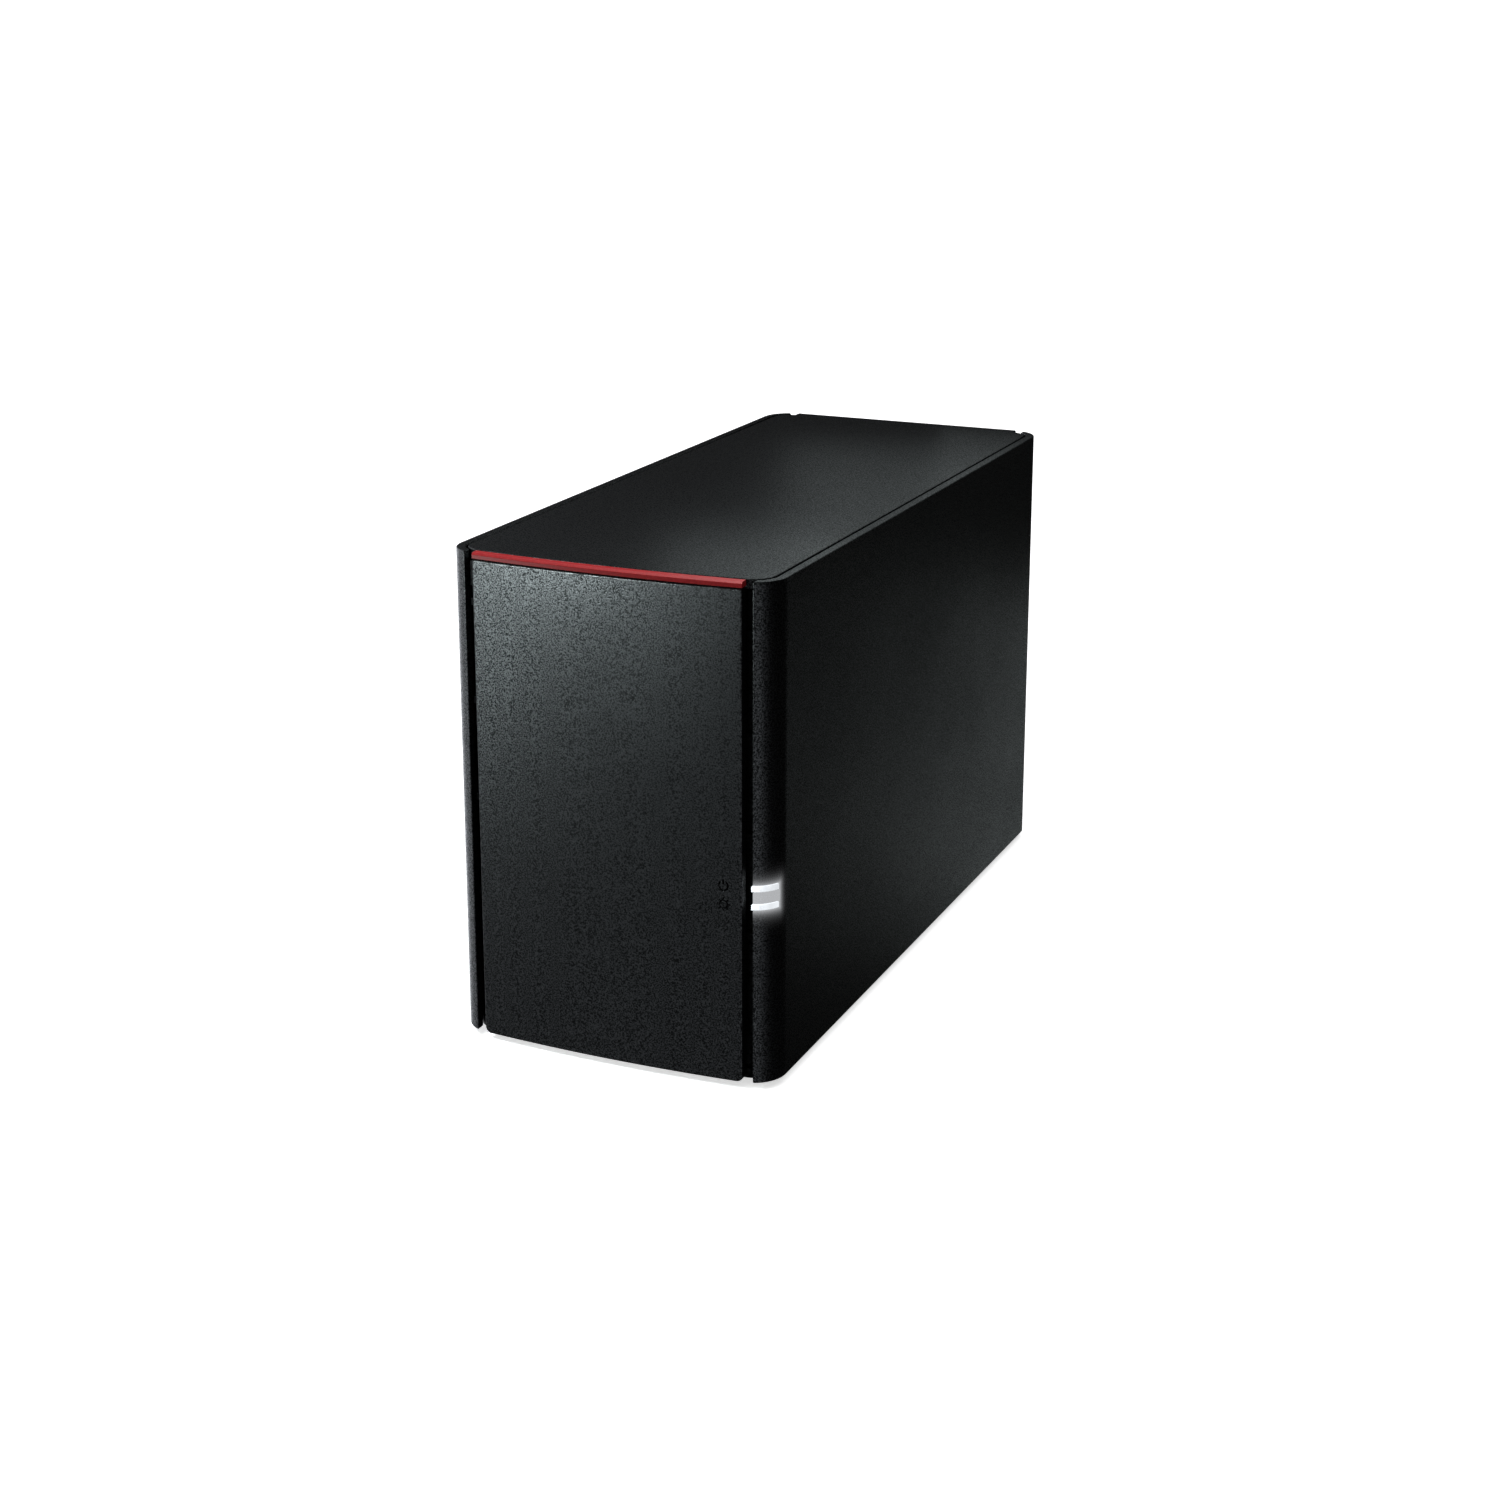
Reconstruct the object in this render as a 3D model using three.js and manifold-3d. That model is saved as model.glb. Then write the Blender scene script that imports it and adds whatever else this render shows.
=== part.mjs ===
// Network attached storage box with two drive bays. Millimetres, +Z up, front face towards -Y,
// right-hand side towards +X, origin on the floor at the middle of the footprint.
import * as THREE from 'three';
import { mergeVertices } from 'three/addons/utils/BufferGeometryUtils.js';
import Module from 'manifold-3d';

const wasm = await Module();
wasm.setup();

// ---- driving dimensions ----
const WIDTH = 87;
const DEPTH = 205;
const HEIGHT = 127;
const FOOT = 2; // the feet hold the case this far off the floor
const CORNER = 8.5; // plan radius of the four upright corners
const BOW = 2.3; // the front stands out this far in the middle
const SHELL = 2.4; // wall of the outer shells
const SEAM = 0.6; // joint line between two outer pieces
const GAP = 0.3; // least gap between two pieces that don't touch
const RETURN = 5.5; // how far a side shell wraps onto the front and the rear
const SLOT = 2.4; // open slot between a shell and the cover or rear panel
const DRIVE = { width: 26.1, length: 147, height: 101.6 }; // a 3.5 inch drive on edge
const SHEET = 1; // sheet steel of the drive cage
const BOARD = 1.6; // circuit board thickness
const FAN = { size: 60, depth: 15, bore: 28.5, holeSpacing: 50 };

// ---- sizes worked out from them ----
const HALF_WIDTH = WIDTH / 2;
const FRONT = -DEPTH / 2;
const REAR = DEPTH / 2;
const SHELL_END = HALF_WIDTH - RETURN; // where a side shell ends, from the centre plane
const FACE_HALF = SHELL_END - SLOT; // half width of the front cover and rear panel
const TOP_UNDER = HEIGHT - 2.5; // underside of the top cover
const FLOOR_TOP = FOOT + 2.5; // inside of the base tray
const INSET = SHELL + SEAM; // the top cover and base tray stand this far inside the outline
const FRAME = { front: FRONT + 5.5, back: FRONT + 11.5, halfOpening: 32, sill: 17.2, lintel: 122.2 };
const BAY_X = 16.2; // middle of a bay from the centre plane
const TRAY = { wall: 1.8, base: 1.5, floor: 18.3, front: FRAME.front + 5, back: 58, top: 120.5 };
const TRAY_HALF = DRIVE.width / 2 + GAP + TRAY.wall;
const DRIVE_Z = TRAY.floor + TRAY.base + GAP; // underside of a drive
const DRIVE_Y = TRAY.front + 5.5; // front end of a drive
const DRIVE_BACK = DRIVE_Y + DRIVE.length;
const CAGE = { floor: 17, roof: 122.6, half: 31.9, front: FRAME.back + GAP, back: 65.7 };
const BACKPLANE_Y = CAGE.back + GAP;
const MAIN = { half: 31.9, front: -68, back: 98.5, z: 8 }; // main board
const MAIN_TOP = MAIN.z + BOARD;
const FAN_Z = 80; // height of the fan's axis
const PANEL_FACE = REAR - SHELL; // inner face of the rear panel
const FAN_BACK = PANEL_FACE - GAP;
const FAN_FRONT = FAN_BACK - FAN.depth;
const BUTTON_Z = 17;
const POWER = { x: -27, radius: 4.5, travel: 1.2 };
const FUNCTION = { x: -17.2, radius: 3, travel: 0.8 };
const PORTS = { // mouths: depth is where a mouth ends inside, heights are above the main board
  lan: {
    x: -3.2, width: 16, height: 13.5, front: 81.2,
    mouth: { half: 5.8, depth: 89, z: [2.2, 9.4] }, clip: { half: 3, depth: 91, z: [9, 11.6] },
  },
  usb: {
    x: 13.2, width: 13.2, height: 5.8, front: 86,
    mouth: { half: 6.1, depth: 88, z: [0.5, 5.3] }, tongue: { half: 5.4, front: 87.5, z: [3.1, 4.6] },
  },
  power: { x: 26.8, width: 9, height: 11, front: 88, mouth: { radius: 3.2, depth: 91 }, pin: 1 },
};
const PORT_FACE = REAR - GAP;
const LIGHTS = { z: [47.4, 52], height: 1.6, back: FRONT + 7 };
const POSTS = { x: 36.4, y: [-78, 52], radius: 3.1 };
const LEVER = {
  half: 5.5, front: FRAME.front, thickness: 1.8, pivotZ: 58, top: 122.6,
  pin: 1, play: 0.2, barrel: 2, noseHalf: 3.5, noseHeight: 2, holeRadius: 3.4, holeZ: 110,
};
const LEVER_PIVOT_Y = LEVER.front + 2.4;

// ---- materials ----
function material(color, roughness, metalness = 0) {
  return new THREE.MeshStandardMaterial({ color, roughness, metalness });
}

const SHELL_BLACK = material(0x242628, 0.55);
const FRAME_BLACK = material(0x0c0d0e, 0.7);
const ACCENT_RED = material(0xb02a2c, 0.3);
const RUBBER = material(0x151515, 0.9);
const STEEL = material(0xb4b8ba, 0.35, 1);
const ALUMINIUM = material(0xc6c9cb, 0.4, 1);
const TRAY_GREY = material(0x34373a, 0.6);
const LEVER_BLUE = material(0x1f5f86, 0.5);
const BOARD_GREEN = material(0x14523a, 0.5);
const CHIP_BLACK = material(0x111214, 0.4);
const SOCKET_BLACK = material(0x18191b, 0.5);
const FAN_BLACK = material(0x17181a, 0.5);
const LIGHT_WHITE = material(0xf2f6ff, 0.2);
const CONNECTOR_WHITE = material(0xe6e2d6, 0.5);
const CAPACITOR_BLUE = material(0x27364f, 0.4);

// ---- solids ----
function solidOf(geometry) {
  geometry.deleteAttribute('normal');
  geometry.deleteAttribute('uv');
  const merged = mergeVertices(geometry, 1e-4);
  return new wasm.Manifold(new wasm.Mesh({
    numProp: 3,
    vertProperties: new Float32Array(merged.attributes.position.array),
    triVerts: new Uint32Array(merged.index.array),
  }));
}

function box([x0, x1], [y0, y1], [z0, z1]) {
  const geometry = new THREE.BoxGeometry(x1 - x0, y1 - y0, z1 - z0);
  geometry.translate((x0 + x1) / 2, (y0 + y1) / 2, (z0 + z1) / 2);
  return solidOf(geometry);
}

function prism(points, z0, z1) {
  const shape = new THREE.Shape(points);
  const geometry = new THREE.ExtrudeGeometry(shape, { depth: z1 - z0, bevelEnabled: false });
  geometry.translate(0, 0, z0);
  return solidOf(geometry);
}

// A round bar from one end to the other along Y, or upright along Z.
function barY(radius, [y0, y1], x, z, sides = 16) {
  const geometry = new THREE.CylinderGeometry(radius, radius, y1 - y0, sides);
  geometry.translate(x, (y0 + y1) / 2, z);
  return solidOf(geometry);
}

function barZ(radius, [z0, z1], x, y, sides = 16) {
  const geometry = new THREE.CylinderGeometry(radius, radius, z1 - z0, sides);
  geometry.rotateX(Math.PI / 2);
  geometry.translate(x, y, (z0 + z1) / 2);
  return solidOf(geometry);
}

function barX(radius, [x0, x1], y, z, sides = 12) {
  const geometry = new THREE.CylinderGeometry(radius, radius, x1 - x0, sides);
  geometry.rotateZ(Math.PI / 2);
  geometry.translate((x0 + x1) / 2, y, z);
  return solidOf(geometry);
}

function join(first, ...others) {
  return others.reduce((whole, piece) => whole.add(piece), first);
}

function cut(first, ...others) {
  return others.reduce((whole, piece) => whole.subtract(piece), first);
}

function geometryOf(solid) {
  const mesh = solid.getMesh();
  const geometry = new THREE.BufferGeometry();
  geometry.setAttribute('position', new THREE.BufferAttribute(mesh.vertProperties, 3));
  geometry.setIndex(new THREE.BufferAttribute(mesh.triVerts, 1));
  geometry.computeVertexNormals();
  return geometry;
}

// Spans that stand the same distance out on the left (-1) or the right (+1) of the centre plane.
function sideSpan(side, near, far) {
  return side > 0 ? [near, far] : [-far, -near];
}

const SIDES = [-1, 1];
const ALL_X = [-HALF_WIDTH - 1, HALF_WIDTH + 1];
const ALL_Y = [FRONT - 1, REAR + 1];
const ALL_Z = [FOOT - 1, HEIGHT + 1];

// ---- plan outline of the case: a bowed front, flat sides and rear, round corners ----
const BOW_RADIUS = (HALF_WIDTH ** 2 + BOW ** 2) / (2 * BOW);
const BOW_CENTRE_Y = FRONT + BOW_RADIUS;
const CORNER_X = HALF_WIDTH - CORNER;
const FRONT_CORNER_Y = BOW_CENTRE_Y - Math.sqrt((BOW_RADIUS - CORNER) ** 2 - CORNER_X ** 2);
const BOW_END = Math.atan2(FRONT_CORNER_Y - BOW_CENTRE_Y, CORNER_X);

function arc(x, y, radius, from, to, steps) {
  return Array.from({ length: steps + 1 }, (_, i) => {
    const angle = from + ((to - from) * i) / steps;
    return new THREE.Vector2(x + radius * Math.cos(angle), y + radius * Math.sin(angle));
  });
}

function planOutline(inset) {
  const right = [
    ...arc(0, BOW_CENTRE_Y, BOW_RADIUS - inset, -Math.PI / 2, BOW_END, 8),
    ...arc(CORNER_X, FRONT_CORNER_Y, CORNER - inset, BOW_END, 0, 7).slice(1),
    ...arc(CORNER_X, REAR - CORNER, CORNER - inset, 0, Math.PI / 2, 6),
  ];
  const left = right.slice(1).reverse().map((point) => new THREE.Vector2(-point.x, point.y));
  return [...right, ...left];
}

function wallRing(z0, z1) {
  return cut(prism(planOutline(0), z0, z1), prism(planOutline(SHELL), z0 - 1, z1 + 1));
}

// ---- outer pieces ----
const RIB = { depth: 1.2, height: 1.5, reach: 60, z: [30, 95] };

function lightSlots() {
  return LIGHTS.z.map((z) => box(
    [SHELL_END - 1, HALF_WIDTH + 1], [FRONT, LIGHTS.back],
    [z - LIGHTS.height / 2, z + LIGHTS.height / 2],
  ));
}

function sideShell(side) {
  const wrap = box(sideSpan(side, SHELL_END, HALF_WIDTH + 1), ALL_Y, ALL_Z);
  const inner = HALF_WIDTH - SHELL;
  const ribs = RIB.z.map((z) => box(
    sideSpan(side, inner - RIB.depth, inner + GAP), [-RIB.reach, RIB.reach], [z, z + RIB.height],
  ));
  const shell = join(wallRing(FOOT, HEIGHT).intersect(wrap), ...ribs);
  return side > 0 ? cut(shell, ...lightSlots()) : shell;
}

const SKIRT = { near: 38.6, far: 40.1, end: 84, bottom: 118 };

function topCover() {
  const panel = prism(planOutline(INSET), TOP_UNDER, HEIGHT);
  const tongue = box([-FACE_HALF, FACE_HALF], [REAR - CORNER, REAR], [TOP_UNDER, HEIGHT]);
  const skirts = SIDES.map((side) => box(
    sideSpan(side, SKIRT.near, SKIRT.far), [-SKIRT.end, SKIRT.end], [SKIRT.bottom, TOP_UNDER + GAP],
  ));
  return join(panel, tongue, ...skirts);
}

const STRIP_HEIGHT = 1.5;
const COVER_TOP = HEIGHT - STRIP_HEIGHT - GAP;
const LUG = { x: 33.2, width: 1.6, height: 6, front: FRONT + SHELL + 0.6, back: FRONT + 9.5, z: [20, 108] };
const COVER_RIB = { half: 30, height: 1.5, front: FRONT + SHELL - 0.4, depth: 1.8, z: [14, 62, 114] };

function faceBlock(z0, z1) {
  return box([-FACE_HALF, FACE_HALF], [FRONT - 1, FRONT + CORNER], [z0, z1]);
}

function frontCover() {
  const skin = wallRing(FOOT, COVER_TOP).intersect(faceBlock(FOOT, COVER_TOP));
  const lugs = SIDES.flatMap((side) => LUG.z.map((z) => box(
    sideSpan(side, LUG.x, LUG.x + LUG.width), [LUG.front, LUG.back], [z, z + LUG.height],
  )));
  const ribs = COVER_RIB.z.map((z) => box(
    [-COVER_RIB.half, COVER_RIB.half], [COVER_RIB.front, COVER_RIB.front + COVER_RIB.depth],
    [z, z + COVER_RIB.height],
  ));
  return join(skin, ...lugs, ...ribs);
}

const STRIP_SLOPE = 0.5; // the strip's upper edge is cut back this far at 45 degrees

function accentStrip() {
  const band = wallRing(COVER_TOP + GAP, HEIGHT).intersect(faceBlock(COVER_TOP, HEIGHT + 1));
  const block = new THREE.ExtrudeGeometry(new THREE.Shape(planOutline(STRIP_SLOPE)), {
    depth: HEIGHT - STRIP_SLOPE, bevelThickness: STRIP_SLOPE, bevelSize: STRIP_SLOPE, bevelSegments: 1,
  });
  return band.intersect(solidOf(block));
}

// ---- base ----
const FOOT_PLACES = { x: 31, y: 84, radius: 4.5 };
const SCREW = { head: 2.9, shank: 1.5, headDepth: 1.4, clearance: 0.2, recess: 0.4 };
const VENT = { half: 22, width: 3, pitch: 12, first: -40, count: 8 };
const BASE_WALL = { near: 38.9, far: 40.4, end: 88, top: 16 };
const BOSSES = { x: 27, y: [-50, 8, 72], radius: 3, hole: 1.6 };

const HEAD_TOP = FOOT + SCREW.recess + SCREW.headDepth;
const SHANK_TOP = CAGE.floor + 2.5;

function baseTray() {
  const floor = prism(planOutline(INSET), FOOT, FLOOR_TOP);
  const walls = SIDES.map((side) => box(
    sideSpan(side, BASE_WALL.near, BASE_WALL.far), [-BASE_WALL.end, BASE_WALL.end], [FOOT + 1, BASE_WALL.top],
  ));
  const posts = SIDES.flatMap((side) => POSTS.y.map((y) => barZ(
    POSTS.radius, [FOOT + 1, CAGE.floor - GAP], side * POSTS.x, y, 12,
  )));
  const bosses = SIDES.flatMap((side) => BOSSES.y.map((y) => barZ(
    BOSSES.radius, [FOOT + 1, MAIN.z - GAP], side * BOSSES.x, y, 8,
  )));
  const screwHoles = SIDES.flatMap((side) => POSTS.y.flatMap((y) => [
    barZ(SCREW.shank + SCREW.clearance, [FOOT - 1, CAGE.floor + 1], side * POSTS.x, y, 8),
    barZ(SCREW.head + SCREW.clearance, [FOOT - 1, HEAD_TOP + GAP], side * POSTS.x, y, 12),
  ]));
  const vents = Array.from({ length: VENT.count }, (_, i) => {
    const y = VENT.first + i * VENT.pitch;
    return box([-VENT.half, VENT.half], [y, y + VENT.width], [FOOT - 1, FLOOR_TOP + 1]);
  });
  return cut(join(floor, ...walls, ...posts, ...bosses), ...screwHoles, ...vents);
}

function foot() {
  return barZ(FOOT_PLACES.radius, [0, FOOT], 0, 0, 20);
}

function caseScrew() {
  return join(
    barZ(SCREW.head, [HEAD_TOP - SCREW.headDepth, HEAD_TOP], 0, 0, 12),
    barZ(SCREW.shank, [HEAD_TOP - SCREW.recess, SHANK_TOP], 0, 0, 8),
  );
}

// ---- front frame ----
const IN_SLOT = { near: FACE_HALF + GAP, far: SHELL_END - GAP }; // what shows in a slot stays within these
const FRAME_RIBS = { z: [39, 64, 89, 114], half: 0.9, near: FACE_HALF - 0.5, depth: 1.3 };
const FRAME_EAR = { bottom: 118, depth: 1.2 };
const LEVER_NOTCH = { depth: 5.1, above: 0.6 };
const LIGHT_NOTCH = { near: 37, front: FRAME.front - 3, z: [45.5, 54.8] };

function frontFrame() {
  const plate = prism(planOutline(INSET + SEAM), FLOOR_TOP + GAP, TOP_UNDER - GAP)
    .intersect(box(ALL_X, [FRAME.front, FRAME.back], ALL_Z));
  const ribs = SIDES.flatMap((side) => FRAME_RIBS.z.map((z) => box(
    sideSpan(side, FRAME_RIBS.near, IN_SLOT.far),
    [FRAME.front - FRAME_RIBS.depth, FRAME.front + 1], [z - FRAME_RIBS.half, z + FRAME_RIBS.half],
  )));
  const ears = SIDES.map((side) => box(
    sideSpan(side, IN_SLOT.near, IN_SLOT.far),
    [FRAME.front - FRAME_EAR.depth, FRAME.front + 1], [FRAME_EAR.bottom, TOP_UNDER - GAP],
  ));
  const bays = box([-FRAME.halfOpening, FRAME.halfOpening], ALL_Y, [FRAME.sill, FRAME.lintel]);
  const lugSlots = SIDES.flatMap((side) => LUG.z.map((z) => box(
    sideSpan(side, LUG.x - GAP, LUG.x + LUG.width + GAP), ALL_Y, [z - GAP, z + LUG.height + GAP],
  )));
  const leverNotches = SIDES.map((side) => box(
    [side * BAY_X - LEVER.half - GAP, side * BAY_X + LEVER.half + GAP],
    [FRAME.front - 1, FRAME.front + LEVER_NOTCH.depth], [FRAME.lintel - 1, LEVER.top + LEVER_NOTCH.above],
  ));
  const lightNotch = box([LIGHT_NOTCH.near, HALF_WIDTH], [LIGHT_NOTCH.front, FRAME.back + 1], LIGHT_NOTCH.z);
  return cut(join(plate, ...ribs, ...ears), bays, ...lugSlots, ...leverNotches, lightNotch);
}

// ---- drive cage: floor, roof, two sides and a divider of sheet steel ----
const WINDOW = { length: 18, pitch: 28, firstY: -78, columns: 5, z: [[26, 52], [60, 86], [94, 117.6]] };
const TAB = { far: 38.6, half: 4 };

function cageWindows() {
  const starts = Array.from({ length: WINDOW.columns }, (_, i) => WINDOW.firstY + i * WINDOW.pitch);
  return starts.flatMap((y) => WINDOW.z.map((z) => box(ALL_X, [y, y + WINDOW.length], z)));
}

function driveCage() {
  const outer = CAGE.half + SHEET;
  const y = [CAGE.front, CAGE.back];
  const floor = box([-outer, outer], y, [CAGE.floor, CAGE.floor + SHEET]);
  const roof = box([-outer, outer], y, [CAGE.roof, CAGE.roof + SHEET]);
  const upright = [CAGE.floor, CAGE.roof + SHEET];
  const walls = SIDES.map((side) => box(sideSpan(side, CAGE.half, outer), y, upright));
  const divider = box([-SHEET / 2, SHEET / 2], y, upright);
  const tabs = SIDES.flatMap((side) => POSTS.y.map((postY) => box(
    sideSpan(side, CAGE.half, TAB.far), [postY - TAB.half, postY + TAB.half],
    [CAGE.floor, CAGE.floor + SHEET],
  )));
  const holes = SIDES.flatMap((side) => POSTS.y.map((postY) => barZ(
    SCREW.shank + SCREW.clearance, [CAGE.floor - 1, CAGE.floor + 2], side * POSTS.x, postY, 8,
  )));
  const walled = cut(join(walls[0], walls[1], divider), ...cageWindows());
  return cut(join(walled, floor, roof, ...tabs), ...holes);
}

// ---- drive tray, its lever and its drive; built about the bay's middle ----
const TRAY_WINDOW = { length: 30, pitch: 44, firstY: -50, z: [36, 105], columns: 2 };
const TRAY_SCREWS = { y: [-58, 26], z: [30, 112], head: 2.7, depth: 1, shank: 1.5, clearance: 0.2 };
const HEAD_POCKET = TRAY_HALF - TRAY_SCREWS.depth - TRAY_SCREWS.clearance;
const EAR = { near: 6.4, far: 8.4, bottom: 54, top: 61 };
const MESH_SLOT = { near: 8.9, far: 13, height: 9, pitch: 13.2, first: 24, count: 7 };

function trayScrewPlaces() {
  return TRAY_SCREWS.y.flatMap((y) => TRAY_SCREWS.z.map((z) => ({ y, z })));
}

function tray() {
  const inner = TRAY_HALF - TRAY.wall;
  const y = [TRAY.front, TRAY.back];
  const floor = box([-TRAY_HALF, TRAY_HALF], y, [TRAY.floor, TRAY.floor + TRAY.base]);
  const windows = Array.from({ length: TRAY_WINDOW.columns }, (_, i) => {
    const start = TRAY_WINDOW.firstY + i * TRAY_WINDOW.pitch;
    return box(ALL_X, [start, start + TRAY_WINDOW.length], TRAY_WINDOW.z);
  });
  const walls = SIDES.map((side) => cut(
    box(sideSpan(side, inner, TRAY_HALF), y, [TRAY.floor, TRAY.top]), ...windows,
  ));
  const faceDepth = [TRAY.front, TRAY.front + TRAY.wall];
  const face = box([-TRAY_HALF, TRAY_HALF], faceDepth, [TRAY.floor, TRAY.top + 1]);
  const slots = SIDES.flatMap((side) => Array.from({ length: MESH_SLOT.count }, (_, i) => {
    const z = MESH_SLOT.first + i * MESH_SLOT.pitch;
    const through = [TRAY.front - 1, TRAY.front + TRAY.wall + 1];
    return box(sideSpan(side, MESH_SLOT.near, MESH_SLOT.far), through, [z, z + MESH_SLOT.height]);
  }));
  const ears = SIDES.map((side) => box(
    sideSpan(side, EAR.near, EAR.far), [LEVER.front, TRAY.front + 1], [EAR.bottom, EAR.top],
  ));
  const pinHole = barX(LEVER.pin + LEVER.play, [-EAR.far - 1, EAR.far + 1], LEVER_PIVOT_Y, LEVER.pivotZ, 12);
  const screwHoles = trayScrewPlaces().flatMap(({ y: screwY, z }) => [
    barX(TRAY_SCREWS.shank + GAP, [inner - 1, TRAY_HALF + 1], screwY, z, 8),
    barX(TRAY_SCREWS.head + TRAY_SCREWS.clearance, [HEAD_POCKET, TRAY_HALF + 1], screwY, z, 12),
  ]);
  return cut(join(floor, ...walls, cut(face, ...slots), ...ears), pinHole, ...screwHoles);
}

function trayLever() {
  const depth = [LEVER.front, LEVER.front + LEVER.thickness];
  const blade = box([-LEVER.half, LEVER.half], depth, [LEVER.pivotZ, LEVER.top - 1]);
  const nose = box([-LEVER.noseHalf, LEVER.noseHalf], depth, [LEVER.top - LEVER.noseHeight, LEVER.top]);
  const barrel = barX(LEVER.barrel, [-EAR.near + GAP, EAR.near - GAP], LEVER_PIVOT_Y, LEVER.pivotZ, 12);
  const pin = barX(LEVER.pin, [-EAR.far, EAR.far], LEVER_PIVOT_Y, LEVER.pivotZ, 12);
  const fingerHole = barY(LEVER.holeRadius, [depth[0] - 1, depth[1] + 1], 0, LEVER.holeZ, 16);
  return cut(join(blade, nose, barrel, pin), fingerHole);
}

const PLATTER_LID = { margin: 4, depth: 1.2, thickness: 0.8, sunk: 0.2 };
const TRAY_SCREW_REACH = 4.5; // how far a tray screw goes into the drive
const DRIVE_BOARD = { pocket: 3.8, y: [-20, DRIVE_BACK], z: [30, 112] };
const DRIVE_PLUG = { x: [8.4, 12.4], length: 6.5, z: [34, 76], pocket: 7, margin: 2 };
const SPINDLE = { radius: 12, hub: 15, y: -42, z: 71, depth: 1.2 };

function driveBody() {
  const half = DRIVE.width / 2;
  const block = box([-half, half], [DRIVE_Y, DRIVE_BACK], [DRIVE_Z, DRIVE_Z + DRIVE.height]);
  const m = PLATTER_LID.margin;
  const lidPocket = box(
    [-half - 1, -half + PLATTER_LID.depth],
    [DRIVE_Y + m, DRIVE_BACK - m], [DRIVE_Z + m, DRIVE_Z + DRIVE.height - m],
  );
  const boardPocket = box(
    [half - DRIVE_BOARD.pocket, half + 1], [DRIVE_BOARD.y[0], DRIVE_BACK + 1], DRIVE_BOARD.z,
  );
  const plugPocket = box(
    [DRIVE_PLUG.x[0] - GAP, half + 1], [DRIVE_BACK - DRIVE_PLUG.pocket, DRIVE_BACK + 1],
    [DRIVE_PLUG.z[0] - DRIVE_PLUG.margin, DRIVE_PLUG.z[1] + DRIVE_PLUG.margin],
  );
  const spindle = barX(SPINDLE.radius, [half - SPINDLE.depth, half + 1], SPINDLE.y, SPINDLE.z, 24);
  const screwHoles = trayScrewPlaces().map(({ y, z }) => barX(
    TRAY_SCREWS.shank + TRAY_SCREWS.clearance, [half - TRAY_SCREW_REACH - 1, half + 1], y, z, 8,
  ));
  return cut(block, lidPocket, boardPocket, plugPocket, spindle, ...screwHoles);
}

function driveLid() {
  const outer = -DRIVE.width / 2 + PLATTER_LID.sunk;
  const m = PLATTER_LID.margin + GAP;
  const plate = box(
    [outer, outer + PLATTER_LID.thickness],
    [DRIVE_Y + m, DRIVE_BACK - m], [DRIVE_Z + m, DRIVE_Z + DRIVE.height - m],
  );
  const hubDimple = barX(SPINDLE.hub, [outer - 1, outer + GAP], SPINDLE.y, SPINDLE.z, 24);
  return cut(plate, hubDimple);
}

function driveBoard() {
  const x0 = DRIVE.width / 2 - DRIVE_BOARD.pocket + 1;
  const board = box(
    [x0, x0 + 1], [DRIVE_BOARD.y[0] + GAP, DRIVE_BACK - GAP],
    [DRIVE_BOARD.z[0] + GAP, DRIVE_BOARD.z[1] - GAP],
  );
  const notches = trayScrewPlaces().filter(({ y }) => y > DRIVE_BOARD.y[0])
    .map(({ y, z }) => barX(3, [x0 - 1, x0 + 2], y, z, 8));
  const plug = box(DRIVE_PLUG.x, [DRIVE_BACK - DRIVE_PLUG.length, DRIVE_BACK - GAP], DRIVE_PLUG.z);
  return join(cut(board, ...notches), plug);
}

function trayScrew() {
  const headOuter = TRAY_HALF - 0.1;
  return join(
    barX(TRAY_SCREWS.head, [headOuter - TRAY_SCREWS.depth, headOuter], 0, 0, 12),
    barX(TRAY_SCREWS.shank, [DRIVE.width / 2 - TRAY_SCREW_REACH, headOuter - 0.5], 0, 0, 8),
  );
}

// ---- boards and what is on them ----
function mainBoard() {
  const board = box([-MAIN.half, MAIN.half], [MAIN.front, MAIN.back], [MAIN.z, MAIN_TOP]);
  const holes = SIDES.flatMap((side) => BOSSES.y.map((y) => barZ(
    BOSSES.hole, [MAIN.z - 1, MAIN_TOP + 1], side * BOSSES.x, y, 12,
  )));
  return cut(board, ...holes);
}

const TONGUE = 22;
const SOCKET = { half: 24, top: 16.7, slotFloor: 11.3, wall: 2.2 };
const BACKPLANE = { half: 31.5, top: 114, air: { inner: 12.5, outer: 5, z: [32, 106] } };

function backplane() {
  const y = [BACKPLANE_Y, BACKPLANE_Y + BOARD];
  const board = box([-BACKPLANE.half, BACKPLANE.half], y, [CAGE.floor + SHEET + GAP, BACKPLANE.top]);
  const tongue = box([-TONGUE, TONGUE], y, [SOCKET.slotFloor + GAP, CAGE.floor + 2]);
  const airWindows = SIDES.map((side) => box(
    [side * BAY_X - BACKPLANE.air.inner, side * BAY_X + BACKPLANE.air.outer], ALL_Y, BACKPLANE.air.z,
  ));
  return cut(join(board, tongue), ...airWindows);
}

function edgeSocket() {
  const depth = [BACKPLANE_Y - SOCKET.wall, BACKPLANE_Y + BOARD + SOCKET.wall];
  const body = box([-SOCKET.half, SOCKET.half], depth, [MAIN_TOP, SOCKET.top]);
  const slot = box(
    [-TONGUE - GAP, TONGUE + GAP], [BACKPLANE_Y - GAP, BACKPLANE_Y + BOARD + GAP],
    [SOCKET.slotFloor, SOCKET.top + 1],
  );
  return cut(body, slot);
}

const CONNECTOR = { x: [8, 13], z: [33, 77], wall: 1.6, rim: 3, slotDepth: 4 };

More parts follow.
